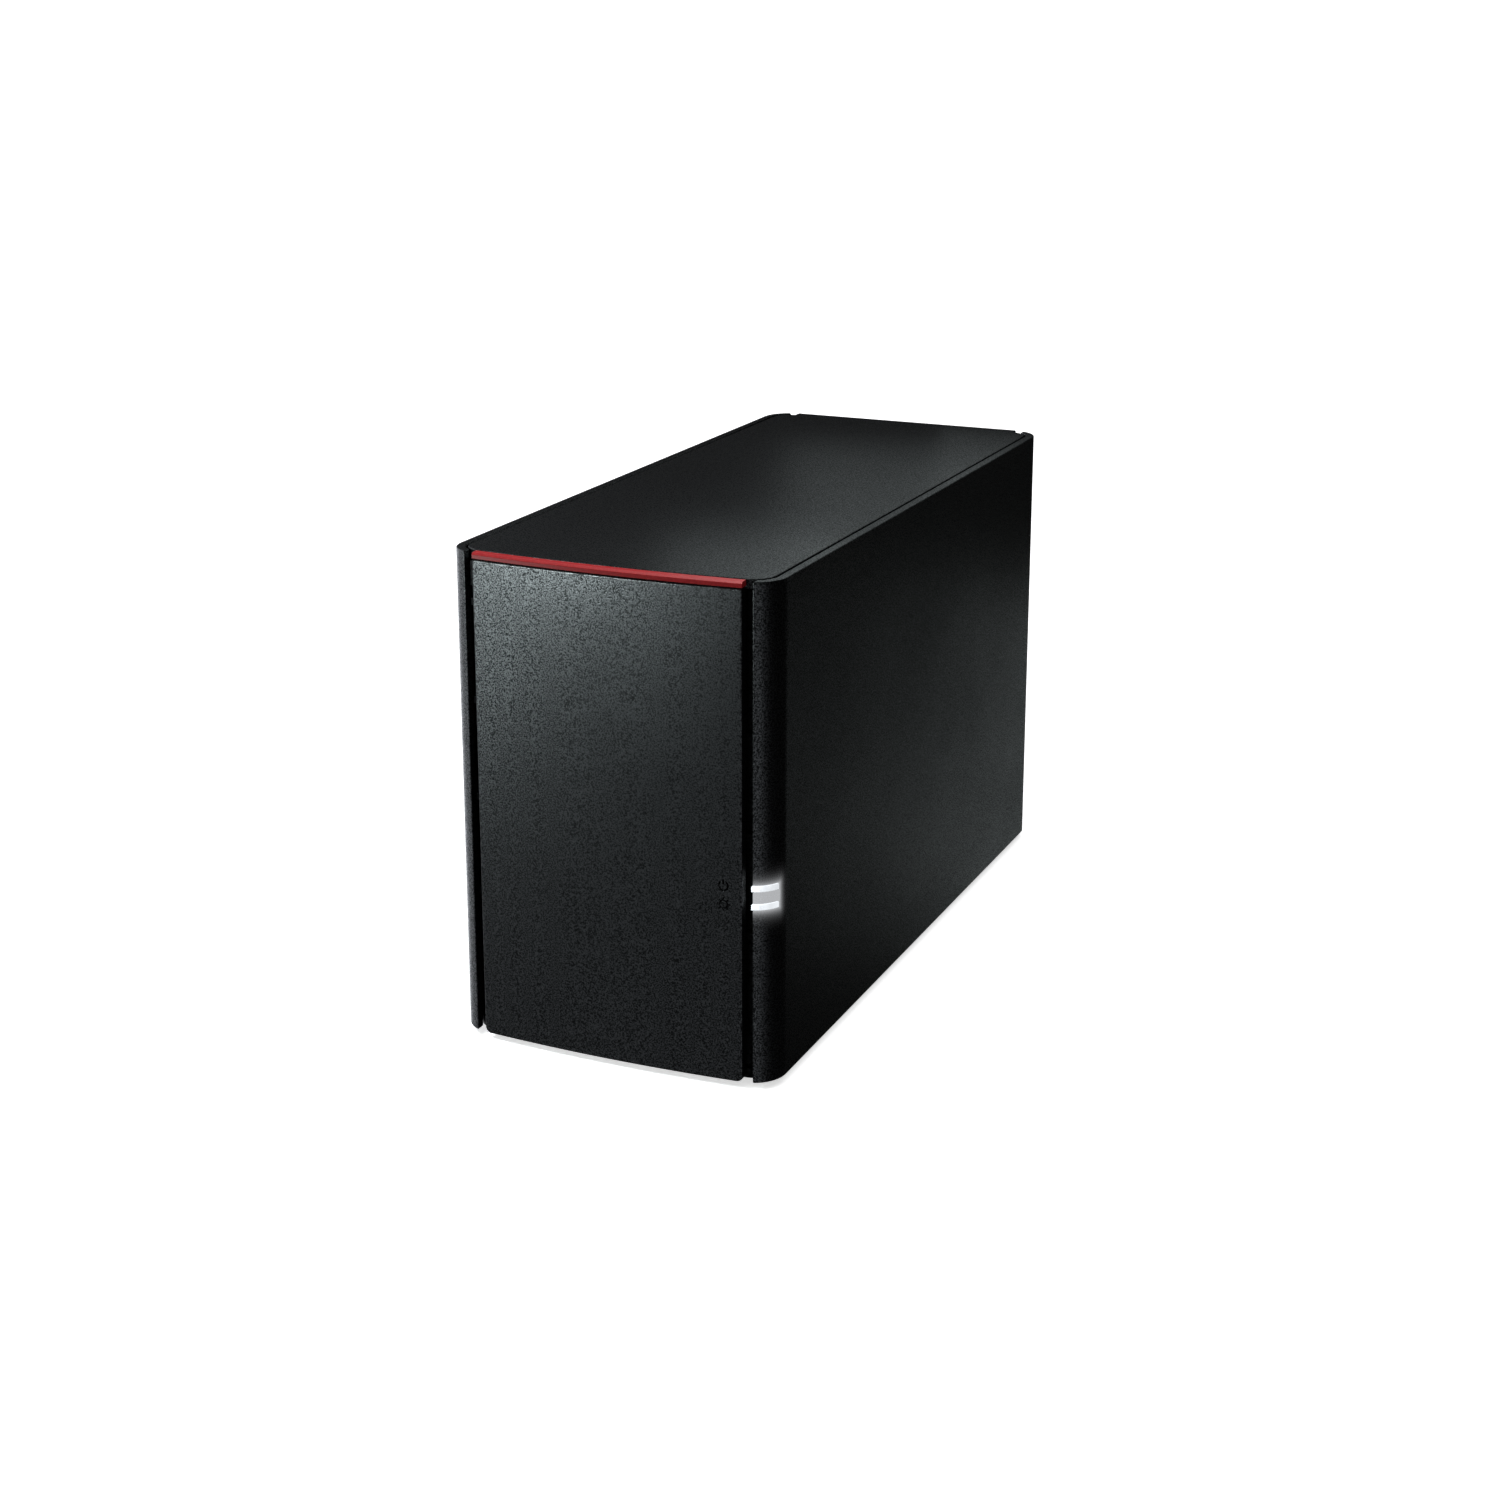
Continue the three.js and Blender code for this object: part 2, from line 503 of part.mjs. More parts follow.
function driveConnector() {
  const body = box(CONNECTOR.x, [DRIVE_BACK + GAP, BACKPLANE_Y], CONNECTOR.z);
  const slot = box(
    [CONNECTOR.x[0] + CONNECTOR.wall, CONNECTOR.x[1] - CONNECTOR.wall],
    [DRIVE_BACK - 1, DRIVE_BACK + CONNECTOR.slotDepth],
    [CONNECTOR.z[0] + CONNECTOR.rim, CONNECTOR.z[1] - CONNECTOR.rim],
  );
  return cut(body, slot);
}

const CHIP = { x: -8, y: 18, half: 8, height: 1.6 };
const FIN = { count: 6, pitch: 3.4, width: 1.4, half: 9, plate: 1.2, height: 4.6 };
const MEMORY = { x: 12, half: [5, 6.5], height: 1.1 };
const CAPACITOR = { x: 26.8, y: 76, radius: 3.1, height: 6.2 };

function processor() {
  return box([-CHIP.half, CHIP.half], [-CHIP.half, CHIP.half], [0, CHIP.height]);
}

function heatsink() {
  const plate = box([-FIN.half, FIN.half], [-FIN.half, FIN.half], [0, FIN.plate]);
  const start = (-(FIN.count - 1) * FIN.pitch) / 2;
  const fins = Array.from({ length: FIN.count }, (_, i) => {
    const x = start + i * FIN.pitch;
    return box([x - FIN.width / 2, x + FIN.width / 2], [-FIN.half, FIN.half], [1, FIN.height]);
  });
  return join(plate, ...fins);
}

function memoryChip() {
  const [halfX, halfY] = MEMORY.half;
  return box([-halfX, halfX], [-halfY, halfY], [0, MEMORY.height]);
}

function capacitor() {
  return barZ(CAPACITOR.radius, [0, CAPACITOR.height], 0, 0, 20);
}

// ---- ports ----
function portBody(port) {
  const half = port.width / 2;
  return box([-half, half], [port.front, PORT_FACE], [MAIN_TOP, MAIN_TOP + port.height]);
}

function opening({ half, depth, z }) {
  return box([-half, half], [depth, REAR + 1], [MAIN_TOP + z[0], MAIN_TOP + z[1]]);
}

function lanJack() {
  return cut(portBody(PORTS.lan), opening(PORTS.lan.mouth), opening(PORTS.lan.clip));
}

function usbPort() {
  const { half, front, z } = PORTS.usb.tongue;
  const tongue = box([-half, half], [front, REAR - 1.2], [MAIN_TOP + z[0], MAIN_TOP + z[1]]);
  return join(cut(portBody(PORTS.usb), opening(PORTS.usb.mouth)), tongue);
}

function powerInlet() {
  const { height, mouth, pin } = PORTS.power;
  const z = MAIN_TOP + height / 2;
  const hole = barY(mouth.radius, [mouth.depth, REAR + 1], 0, z, 24);
  const contact = barY(pin, [mouth.depth - 0.5, REAR - 1.5], 0, z, 12);
  return join(cut(portBody(PORTS.power), hole), contact);
}

// ---- buttons and switches ----
const PLUNGER = { radius: 1.8, tip: PANEL_FACE - 4.6, flange: 0.9 };
const SWITCH = { half: 3.4, depth: 5, stem: 1.6, stemLength: 0.8, above: 3.2 };

function pushButton(button) {
  return join(
    barY(button.radius, [PANEL_FACE - 2, REAR], 0, BUTTON_Z, 24),
    barY(button.radius + PLUNGER.flange, [PANEL_FACE - 1.5, PANEL_FACE - GAP], 0, BUTTON_Z, 24),
    barY(PLUNGER.radius, [PLUNGER.tip, PANEL_FACE - 1.8], 0, BUTTON_Z, 12),
  );
}

function pushSwitch(button) {
  const face = PLUNGER.tip - button.travel - GAP;
  const body = [face - SWITCH.depth, face - SWITCH.stemLength];
  return join(
    box([-SWITCH.half, SWITCH.half], body, [MAIN_TOP, BUTTON_Z + SWITCH.above]),
    barY(SWITCH.stem, [body[1] - 0.7, face], 0, BUTTON_Z, 12),
  );
}

// ---- fan ----
const STRUT = { half: 1.4, depth: 1.8 };
const MOTOR = { radius: 12.5, depth: 3, bearing: 1.8, bearingDepth: 4 };

function fanFrame() {
  const half = FAN.size / 2;
  const hole = FAN.holeSpacing / 2;
  const block = box([-half, half], [FAN_FRONT, FAN_BACK], [FAN_Z - half, FAN_Z + half]);
  const bore = barY(FAN.bore, [FAN_FRONT - 1, FAN_BACK + 1], 0, FAN_Z, 40);
  const screwHoles = SIDES.flatMap((sx) => SIDES.map((sz) => barY(
    SCREW.shank + 0.5, [FAN_FRONT - 1, FAN_BACK + 1], sx * hole, FAN_Z + sz * hole, 8,
  )));
  const motorPlate = barY(MOTOR.radius, [FAN_BACK - MOTOR.depth, FAN_BACK], 0, FAN_Z, 28);
  const strutDepth = [FAN_BACK - STRUT.depth, FAN_BACK];
  const struts = [
    box([-half + 1, half - 1], strutDepth, [FAN_Z - STRUT.half, FAN_Z + STRUT.half]),
    box([-STRUT.half, STRUT.half], strutDepth, [FAN_Z - half + 1, FAN_Z + half - 1]),
  ];
  const bearing = barY(MOTOR.bearing, [FAN_BACK - MOTOR.bearingDepth, FAN_BACK - 0.8], 0, FAN_Z, 16);
  return cut(join(cut(block, bore, ...screwHoles), motorPlate, ...struts), bearing);
}

const ROTOR = {
  hub: 13, tip: 27, blades: 7, chord: 11, thickness: 1.2, pitch: 0.62,
  front: FAN_FRONT + 1.2, back: FAN_BACK - 4, shaft: 1.5,
};

function fanBlade(turn) {
  const middle = (ROTOR.front + ROTOR.back) / 2;
  const geometry = new THREE.BoxGeometry(ROTOR.tip - ROTOR.hub + 3, ROTOR.thickness, ROTOR.chord);
  geometry.rotateX(ROTOR.pitch);
  geometry.translate((ROTOR.tip + ROTOR.hub - 3) / 2, middle, 0);
  geometry.rotateY(turn);
  geometry.translate(0, 0, FAN_Z);
  return solidOf(geometry);
}

function fanRotor() {
  const hub = barY(ROTOR.hub, [ROTOR.front, ROTOR.back], 0, FAN_Z, 28);
  const shaft = barY(ROTOR.shaft, [ROTOR.back - 1, FAN_BACK - 1.2], 0, FAN_Z, 16);
  const blades = Array.from({ length: ROTOR.blades }, (_, i) => fanBlade((i * 2 * Math.PI) / ROTOR.blades));
  return join(hub, shaft, ...blades);
}

function fanScrew() {
  const face = REAR - SCREW.clearance;
  return join(
    barY(SCREW.head, [face - SCREW.headDepth, face], 0, 0, 12),
    barY(SCREW.shank, [FAN_BACK - FAN.depth / 2, face - 0.8], 0, 0, 8),
  );
}

const FAN_PLUG = { x: -23, y: 76, half: [3.8, 3], top: MAIN_TOP + 7 };

function fanPlug() {
  const { x, y, half, top } = FAN_PLUG;
  return box([x - half[0], x + half[0]], [y - half[1], y + half[1]], [MAIN_TOP, top]);
}

const LEAD = { fan: 1.1, light: 0.9 }; // radii of the two internal leads

function tubeAlong(points, radius, steps) {
  const path = new THREE.CatmullRomCurve3(points.map((point) => new THREE.Vector3(...point)));
  const section = new THREE.Shape(arc(0, 0, radius, 0, 2 * Math.PI, 8).slice(0, -1));
  return solidOf(new THREE.ExtrudeGeometry(section, { extrudePath: path, steps, bevelEnabled: false }));
}

function fanLead() {
  const fanBottom = FAN_Z - FAN.size / 2 - GAP;
  return tubeAlong([
    [-20, FAN_FRONT + 5, fanBottom],
    [-20.4, FAN_FRONT + 4.4, 42],
    [-22, 83, 32],
    [FAN_PLUG.x, 77, 24],
    [FAN_PLUG.x, FAN_PLUG.y, FAN_PLUG.top + GAP],
  ], LEAD.fan, 14);
}

// ---- rear panel ----
const GRILLE = { radius: 26, slots: 9, pitch: 5.4, height: 3, spineHalf: 1.2 };
const SECURITY_SLOT = { x: 26, z: 38, width: 7, height: 3 };
const WING = { near: 32.5, front: PANEL_FACE - 4.3, thickness: 1.5, web: 1.6 };

function grilleSlots() {
  const first = -((GRILLE.slots - 1) * GRILLE.pitch) / 2;
  return Array.from({ length: GRILLE.slots }, (_, i) => {
    const z = first + i * GRILLE.pitch;
    const reach = Math.sqrt(GRILLE.radius ** 2 - z ** 2);
    const heights = [FAN_Z + z - GRILLE.height / 2, FAN_Z + z + GRILLE.height / 2];
    return box([-reach, reach], [PANEL_FACE - 1, REAR + 1], heights);
  });
}

function portHole(port) {
  const half = port.width / 2 + GAP;
  const heights = [MAIN_TOP - GAP, MAIN_TOP + port.height + GAP];
  return box([port.x - half, port.x + half], [PANEL_FACE - 1, REAR + 1], heights);
}

function panelWings() {
  const heights = [FLOOR_TOP + GAP, TOP_UNDER - GAP];
  return SIDES.flatMap((side) => [
    prism(planOutline(INSET + SEAM), ...heights).intersect(
      box(sideSpan(side, WING.near, HALF_WIDTH), [WING.front, WING.front + WING.thickness], ALL_Z),
    ),
    box(sideSpan(side, WING.near, WING.near + WING.web), [WING.front, PANEL_FACE + 1], heights),
  ]);
}

function fanScrewHoles() {
  const hole = FAN.holeSpacing / 2;
  const headPocket = [REAR - SCREW.headDepth - SCREW.recess, REAR + 1];
  return SIDES.flatMap((sx) => SIDES.flatMap((sz) => [
    barY(SCREW.shank + GAP, [PANEL_FACE - 1, REAR + 1], sx * hole, FAN_Z + sz * hole, 8),
    barY(SCREW.head + SCREW.clearance, headPocket, sx * hole, FAN_Z + sz * hole, 12),
  ]));
}

function rearPanel() {
  const plate = box([-FACE_HALF, FACE_HALF], [PANEL_FACE, REAR], [FOOT, TOP_UNDER - GAP]);
  const spine = box(
    [-GRILLE.spineHalf, GRILLE.spineHalf], [PANEL_FACE, REAR], [FAN_Z - GRILLE.radius, FAN_Z + GRILLE.radius],
  );
  const buttonHoles = [POWER, FUNCTION].map((button) => barY(
    button.radius + GAP, [PANEL_FACE - 1, REAR + 1], button.x, BUTTON_Z, 24,
  ));
  const { x, z, width, height } = SECURITY_SLOT;
  const lock = box([x - width / 2, x + width / 2], [PANEL_FACE - 1, REAR + 1], [z, z + height]);
  const pierced = cut(plate, ...grilleSlots(), ...Object.values(PORTS).map(portHole), ...buttonHoles, lock);
  return cut(join(pierced, ...panelWings(), spine), ...fanScrewHoles());
}

// ---- lights on the right-hand shell ----
const LIGHT_BOARD = { x: [34.4, 40], z: [38, 60], front: FRAME.back + GAP, thickness: 1.2 };
const LIGHT_GUIDE = { x: [38.3, 39.6], front: FRONT + 2.6 };

function lightBar(z) {
  const half = LIGHTS.height / 2 - GAP;
  const window = box([SHELL_END - GAP, HALF_WIDTH + 1], [FRONT, LIGHTS.back - GAP], [z - half, z + half]);
  const bar = wallRing(z - half, z + half).intersect(window);
  const guide = box(LIGHT_GUIDE.x, [LIGHT_GUIDE.front, LIGHT_BOARD.front - 1], [z - half, z + half]);
  return join(bar, guide);
}

function lightBoard() {
  return box(LIGHT_BOARD.x, [LIGHT_BOARD.front, LIGHT_BOARD.front + LIGHT_BOARD.thickness], LIGHT_BOARD.z);
}

const LIGHT_PLUG = { x: 24, y: -63, half: [3, 2.5], top: MAIN_TOP + 4.6 };

function lightPlug() {
  const { x, y, half, top } = LIGHT_PLUG;
  return box([x - half[0], x + half[0]], [y - half[1], y + half[1]], [MAIN_TOP, top]);
}

function lightLead() {
  const boardBack = LIGHT_BOARD.front + LIGHT_BOARD.thickness;
  const plugZ = MAIN_TOP + 2.5;
  return tubeAlong([
    [37, boardBack - 0.4, LIGHT_BOARD.z[0] - GAP],
    [37, boardBack + 0.2, 26],
    [34.6, boardBack + 2, 14],
    [27.6, LIGHT_PLUG.y - 14, plugZ + 0.4],
    [LIGHT_PLUG.x, LIGHT_PLUG.y - 7, plugZ],
    [LIGHT_PLUG.x, LIGHT_PLUG.y - LIGHT_PLUG.half[1] - GAP, plugZ],
  ], LEAD.light, 16);
}

// ---- assembly ----
const nas = new THREE.Group();

function place(name, solid, look, x = 0, y = 0, z = 0, parent = nas) {
  const mesh = new THREE.Mesh(geometryOf(solid), look);
  mesh.name = name;
  mesh.position.set(x, y, z);
  parent.add(mesh);
  return mesh;
}

function placeCase() {
  place('left_side_shell', sideShell(-1), SHELL_BLACK);
  place('right_side_shell', sideShell(1), SHELL_BLACK);
  place('top_cover', topCover(), SHELL_BLACK);
  place('base_tray', baseTray(), FRAME_BLACK);
  place('front_frame', frontFrame(), FRAME_BLACK);
  place('rear_panel', rearPanel(), SHELL_BLACK);
  place('front_cover', frontCover(), SHELL_BLACK);
  place('accent_strip', accentStrip(), ACCENT_RED);
  const corners = SIDES.flatMap((sy) => SIDES.map((sx) => [sx, sy]));
  corners.forEach(([sx, sy], i) => {
    place(`foot_${i + 1}`, foot(), RUBBER, sx * FOOT_PLACES.x, sy * FOOT_PLACES.y);
    place(`case_screw_${i + 1}`, caseScrew(), STEEL, sx * POSTS.x, POSTS.y[sy > 0 ? 1 : 0]);
  });
}

function placeBay(number, x) {
  const bay = new THREE.Group();
  bay.position.x = x;
  nas.add(bay);
  place(`tray_${number}`, tray(), TRAY_GREY, 0, 0, 0, bay);
  place(`tray_lever_${number}`, trayLever(), LEVER_BLUE, 0, 0, 0, bay);
  place(`drive_body_${number}`, driveBody(), ALUMINIUM, 0, 0, 0, bay);
  place(`drive_lid_${number}`, driveLid(), STEEL, 0, 0, 0, bay);
  place(`drive_board_${number}`, driveBoard(), BOARD_GREEN, 0, 0, 0, bay);
  place(`drive_connector_${number}`, driveConnector(), SOCKET_BLACK, 0, 0, 0, bay);
  trayScrewPlaces().filter((_, i) => i === 0 || i === 3).forEach(({ y, z }, i) => {
    place(`tray_screw_${number}_${i + 1}`, trayScrew(), STEEL, 0, y, z, bay);
  });
}

function placeBoards() {
  place('drive_cage', driveCage(), STEEL);
  place('main_board', mainBoard(), BOARD_GREEN);
  place('backplane_board', backplane(), BOARD_GREEN);
  place('edge_socket', edgeSocket(), SOCKET_BLACK);
  place('processor', processor(), CHIP_BLACK, CHIP.x, CHIP.y, MAIN_TOP);
  place('heatsink', heatsink(), ALUMINIUM, CHIP.x, CHIP.y, MAIN_TOP + CHIP.height);
  place('memory_chip', memoryChip(), CHIP_BLACK, MEMORY.x, CHIP.y, MAIN_TOP);
  place('capacitor', capacitor(), CAPACITOR_BLUE, CAPACITOR.x, CAPACITOR.y, MAIN_TOP);
  place('lan_jack', lanJack(), STEEL, PORTS.lan.x);
  place('usb_port', usbPort(), STEEL, PORTS.usb.x);
  place('power_inlet', powerInlet(), SOCKET_BLACK, PORTS.power.x);
}

function placeControls() {
  place('power_button', pushButton(POWER), FRAME_BLACK, POWER.x);
  place('power_switch', pushSwitch(POWER), SOCKET_BLACK, POWER.x);
  place('function_button', pushButton(FUNCTION), FRAME_BLACK, FUNCTION.x);
  place('function_switch', pushSwitch(FUNCTION), SOCKET_BLACK, FUNCTION.x);
  place('lower_light_bar', lightBar(LIGHTS.z[0]), LIGHT_WHITE);
  place('upper_light_bar', lightBar(LIGHTS.z[1]), LIGHT_WHITE);
  place('light_board', lightBoard(), BOARD_GREEN);
  place('light_lead', lightLead(), RUBBER);
  place('light_plug', lightPlug(), CONNECTOR_WHITE);
}

function placeFan() {
  place('fan_frame', fanFrame(), FAN_BLACK);
  place('fan_rotor', fanRotor(), FAN_BLACK);
  place('fan_lead', fanLead(), RUBBER);
  place('fan_plug', fanPlug(), CONNECTOR_WHITE);
  const hole = FAN.holeSpacing / 2;
  const corners = SIDES.flatMap((sz) => SIDES.map((sx) => [sx, sz]));
  corners.forEach(([sx, sz], i) => {
    place(`fan_screw_${i + 1}`, fanScrew(), STEEL, sx * hole, 0, FAN_Z + sz * hole);
  });
}

placeCase();
placeBay(1, -BAY_X);
placeBay(2, BAY_X);
placeBoards();
placeControls();
placeFan();

export default nas;
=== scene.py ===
"""Looks of the network attached storage box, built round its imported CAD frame. Sizes are in mm."""
import math

import bmesh
import bpy
from mathutils import Matrix, Vector


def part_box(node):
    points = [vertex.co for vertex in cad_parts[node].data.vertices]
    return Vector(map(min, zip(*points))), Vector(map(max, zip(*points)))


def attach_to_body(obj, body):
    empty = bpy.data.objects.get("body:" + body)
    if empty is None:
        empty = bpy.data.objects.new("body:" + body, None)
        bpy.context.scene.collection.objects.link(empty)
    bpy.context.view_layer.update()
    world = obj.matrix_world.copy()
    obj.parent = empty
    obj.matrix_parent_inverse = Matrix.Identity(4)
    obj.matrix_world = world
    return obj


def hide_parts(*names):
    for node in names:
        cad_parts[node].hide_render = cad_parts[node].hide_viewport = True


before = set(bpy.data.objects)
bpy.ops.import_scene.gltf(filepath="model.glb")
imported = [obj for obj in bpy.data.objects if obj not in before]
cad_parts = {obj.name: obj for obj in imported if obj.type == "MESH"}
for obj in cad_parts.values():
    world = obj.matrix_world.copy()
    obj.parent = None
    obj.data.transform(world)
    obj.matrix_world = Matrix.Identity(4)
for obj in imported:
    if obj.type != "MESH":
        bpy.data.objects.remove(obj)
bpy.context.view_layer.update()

MM = 0.001
SIDES = (-1, 1)


def box_of(node):
    """Lowest and highest corner of a CAD node, in mm."""
    lo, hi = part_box(node)
    return lo / MM, hi / MM


# ---- sizes taken from the frame, and the few that its boxes don't hold ----
SHELL_LO, SHELL_HI = box_of("right_side_shell")
COVER_LO, COVER_HI = box_of("front_cover")
STRIP_FOOT = box_of("accent_strip")[0].z
SKIRT_FOOT = box_of("top_cover")[0].z
ROTOR_LO, ROTOR_HI = box_of("fan_rotor")
LAN_LO, LAN_HI = box_of("lan_jack")
USB_LO, USB_HI = box_of("usb_port")
INLET_LO, INLET_HI = box_of("power_inlet")
HALF_WIDTH = SHELL_HI.x
RETURN_X = SHELL_LO.x  # where a side shell ends on the front and the rear
FACE_HALF = COVER_HI.x
CASE_TOP = SHELL_HI.z
CASE_BOTTOM = SHELL_LO.z
FRONT = COVER_LO.y
REAR = box_of("rear_panel")[1].y
SHELL = 2.4  # wall of the outer pieces
SEAM = 0.6  # joint line between two outer pieces
CORNER = 8.5  # plan radius of the upright corners
BOW = 2.3  # the front stands out this far in the middle
PLATE = 2.5  # thickness of the top panel
BOW_RADIUS = (HALF_WIDTH ** 2 + BOW ** 2) / (2 * BOW)
BOW_CENTRE_Y = FRONT + BOW_RADIUS
CORNER_X = HALF_WIDTH - CORNER
CORNER_Y = BOW_CENTRE_Y - math.sqrt((BOW_RADIUS - CORNER) ** 2 - CORNER_X ** 2)
REAR_CORNER_Y = REAR - CORNER
BOW_END = math.atan2(CORNER_Y - BOW_CENTRE_Y, CORNER_X)
LIGHT_Z = (47.4, 52)  # middle heights of the two light bars
LIGHT_SLOT = 1.6  # height of each slot in the shell
LIGHT_BAR = 1.45  # height of the bar in it
LIGHT_SLOT_BACK = FRONT + 7  # where the slots end on the side
SLOT_STEPS = 6  # steps of the shell's plan line along a light slot
CORNER_STEPS = 18
BOW_STEPS = 20
FAN_Z = 80  # height of the fan's axis
BAYS = (1, 2)


# ---- materials ----
class Shader:
    """A material whose nodes are added one at a time round a Principled BSDF."""

    def __init__(self, name, sockets):
        self.material = bpy.data.materials.new(name)
        self.material.use_nodes = True
        self.tree = self.material.node_tree
        self.bsdf = self.tree.nodes["Principled BSDF"]
        self.fill(self.bsdf, sockets)

    def fill(self, node, sockets):
        for key, value in sockets.items():
            if isinstance(value, bpy.types.NodeSocket):
                self.tree.links.new(value, node.inputs[key])
            else:
                node.inputs[key].default_value = value

    def add(self, kind, sockets, **settings):
        node = self.tree.nodes.new("ShaderNode" + kind)
        for key, value in settings.items():
            setattr(node, key, value)
        self.fill(node, sockets)
        return node

    def place(self, stretch=(1, 1, 1)):
        """Position on the object in mm, stretched along its axes."""
        where = self.add("TexCoord", {}).outputs["Object"]
        scale = [1 / MM * s for s in stretch]
        return self.add("Mapping", {"Vector": where, "Scale": scale}).outputs["Vector"]

    def noise(self, size, stretch=(1, 1, 1), detail=2.0, roughness=0.6):
        """Soft noise whose features are about size mm across."""
        sockets = {"Vector": self.place(stretch), "Scale": 1 / size, "Detail": detail, "Roughness": roughness}
        return self.add("TexNoise", sockets).outputs["Fac"]

    def ramp(self, value, stops):
        node = self.add("ValToRGB", {"Fac": value})
        elements = node.color_ramp.elements
        while len(elements) < len(stops):
            elements.new(0.5)
        for element, (position, colour) in zip(elements, stops):
            element.position = position
            element.color = (*colour, 1)
        return node.outputs["Color"]

    def spread(self, value, low, high, from_low=0.3, from_high=0.7):
        """value from from_low..from_high moved to low..high."""
        sockets = {"Value": value, "From Min": from_low, "From Max": from_high, "To Min": low, "To Max": high}
        return self.add("MapRange", sockets).outputs["Result"]

    def math(self, operation, first, second=0.0):
        node = self.add("Math", {}, operation=operation)
        for socket, value in zip(node.inputs, (first, second)):
            if isinstance(value, bpy.types.NodeSocket):
                self.tree.links.new(value, socket)
            else:
                socket.default_value = value
        return node.outputs["Value"]

    def bump(self, height, depth, strength=1.0):
        """Relief of depth mm."""
        normal = self.add("Bump", {"Height": height, "Distance": depth * MM, "Strength": strength})
        self.fill(self.bsdf, {"Normal": normal.outputs["Normal"]})

    def colour(self, value):
        self.fill(self.bsdf, {"Base Color": value})

    def roughness(self, value):
        self.fill(self.bsdf, {"Roughness": value})


def grey(level, tint=(0.96, 1.0, 1.02)):
    return tuple(level * t for t in tint)


def grained_plastic(name, pit, crest, rough, grain=0.36, depth=0.06):
    """Moulded plastic with a fine spark-eroded grain: shiny crests between dull, dark pits.
    It has no body colour to speak of, so pit and crest are how strongly each part reflects."""
    shader = Shader(name, {"Metallic": 1.0})
    grains = shader.noise(grain, detail=1.0, roughness=0.6)
    drift = shader.noise(34, detail=1)
    middle = (pit + crest) / 2
    shader.colour(shader.ramp(grains, [(0.37, grey(pit)), (0.5, grey(middle)), (0.63, grey(crest))]))
    shader.roughness(shader.math("ADD", shader.spread(grains, rough + 0.18, rough - 0.06, 0.37, 0.63),
                                 shader.spread(drift, -0.02, 0.02)))
    shader.bump(grains, depth)
    return shader


def smooth_plastic(name, colour, rough, mottle=6.0, depth=0.01):
    """Plain moulded plastic with a slight unevenness."""
    shader = Shader(name, {})
    uneven = shader.noise(mottle, detail=3)
    dark = tuple(c * 0.86 for c in colour)
    shader.colour(shader.ramp(uneven, [(0.3, dark), (0.7, colour)]))
    shader.roughness(shader.spread(uneven, rough - 0.05, rough + 0.06))
    shader.bump(shader.noise(0.8), depth)
    return shader


def sheet_metal(name, colour, rough, stretch=(1, 0.02, 1), size=0.35, depth=0.006):
    """Rolled or brushed metal: streaks along one axis."""
    shader = Shader(name, {"Metallic": 1.0})
    streaks = shader.noise(size, stretch, detail=3)
    cloud = shader.noise(9, detail=2)
    dark = tuple(c * 0.78 for c in colour)
    shader.colour(shader.ramp(shader.math("MULTIPLY", streaks, shader.spread(cloud, 0.9, 1.15)),
                              [(0.3, dark), (0.7, colour)]))
    shader.roughness(shader.spread(streaks, rough - 0.08, rough + 0.1))
    shader.bump(streaks, depth)
    return shader


def zinc_sheet(name):
    """Galvanised steel with its spangle."""
    shader = Shader(name, {"Metallic": 1.0})
    cells = shader.add("TexVoronoi", {"Vector": shader.place(), "Scale": 0.16}).outputs["Color"]
    tone = shader.add("SeparateColor", {"Color": cells}).outputs["Red"]
    shader.colour(shader.ramp(tone, [(0.0, (0.42, 0.44, 0.45)), (1.0, (0.6, 0.62, 0.63))]))
    shader.roughness(shader.spread(tone, 0.3, 0.48, 0.0, 1.0))
    shader.bump(shader.noise(1.4, detail=3), 0.012)
    return shader


def cast_metal(name, colour, rough):
    """Die-cast aluminium: pebbly, slightly stained."""
    shader = Shader(name, {"Metallic": 0.9})
    pebble = shader.noise(0.7, detail=4)
    stain = shader.noise(14, detail=2)
    shader.colour(shader.ramp(stain, [(0.3, tuple(c * 0.82 for c in colour)), (0.7, colour)]))
    shader.roughness(shader.spread(pebble, rough - 0.06, rough + 0.12))
    shader.bump(pebble, 0.05)
    return shader


TIN = (0.6, 0.58, 0.5)


def circuit_board(name, mask, trace):
    """Solder mask over copper tracks, with tinned pads."""
    shader = Shader(name, {"Coat Weight": 0.35, "Coat Roughness": 0.2})
    where = shader.place()
    snapped = shader.add("VectorMath", {0: where, 1: (0.9, 0.9, 0.9)}, operation="SNAP").outputs["Vector"]
    tracks = shader.add("TexNoise", {"Vector": snapped, "Scale": 0.12, "Detail": 3.0}).outputs["Fac"]
    pads = shader.add("TexVoronoi", {"Vector": where, "Scale": 0.34}, feature="F1").outputs["Distance"]
    copper = shader.ramp(tracks, [(0.47, mask), (0.5, trace), (0.55, trace), (0.58, mask)])
    is_pad = shader.math("LESS_THAN", pads, 0.13)
    factor, first, second, result = 0, 6, 7, 2  # the Mix node's colour sockets share names with others
    tinned = shader.add("Mix", {factor: is_pad, first: copper, second: (*TIN, 1)}, data_type="RGBA")
    shader.colour(tinned.outputs[result])
    shader.roughness(shader.spread(tracks, 0.35, 0.5))
    shader.fill(shader.bsdf, {"Metallic": shader.math("MULTIPLY", is_pad, 0.8)})
    shader.bump(tracks, 0.02)
    return shader


def rubber(name):
    shader = Shader(name, {"Specular IOR Level": 0.3})
    dust = shader.noise(0.5, detail=4)
    shader.colour(shader.ramp(dust, [(0.4, grey(0.008)), (0.75, grey(0.035))]))
    shader.roughness(shader.spread(dust, 0.75, 0.95))
    shader.bump(dust, 0.04)
    return shader


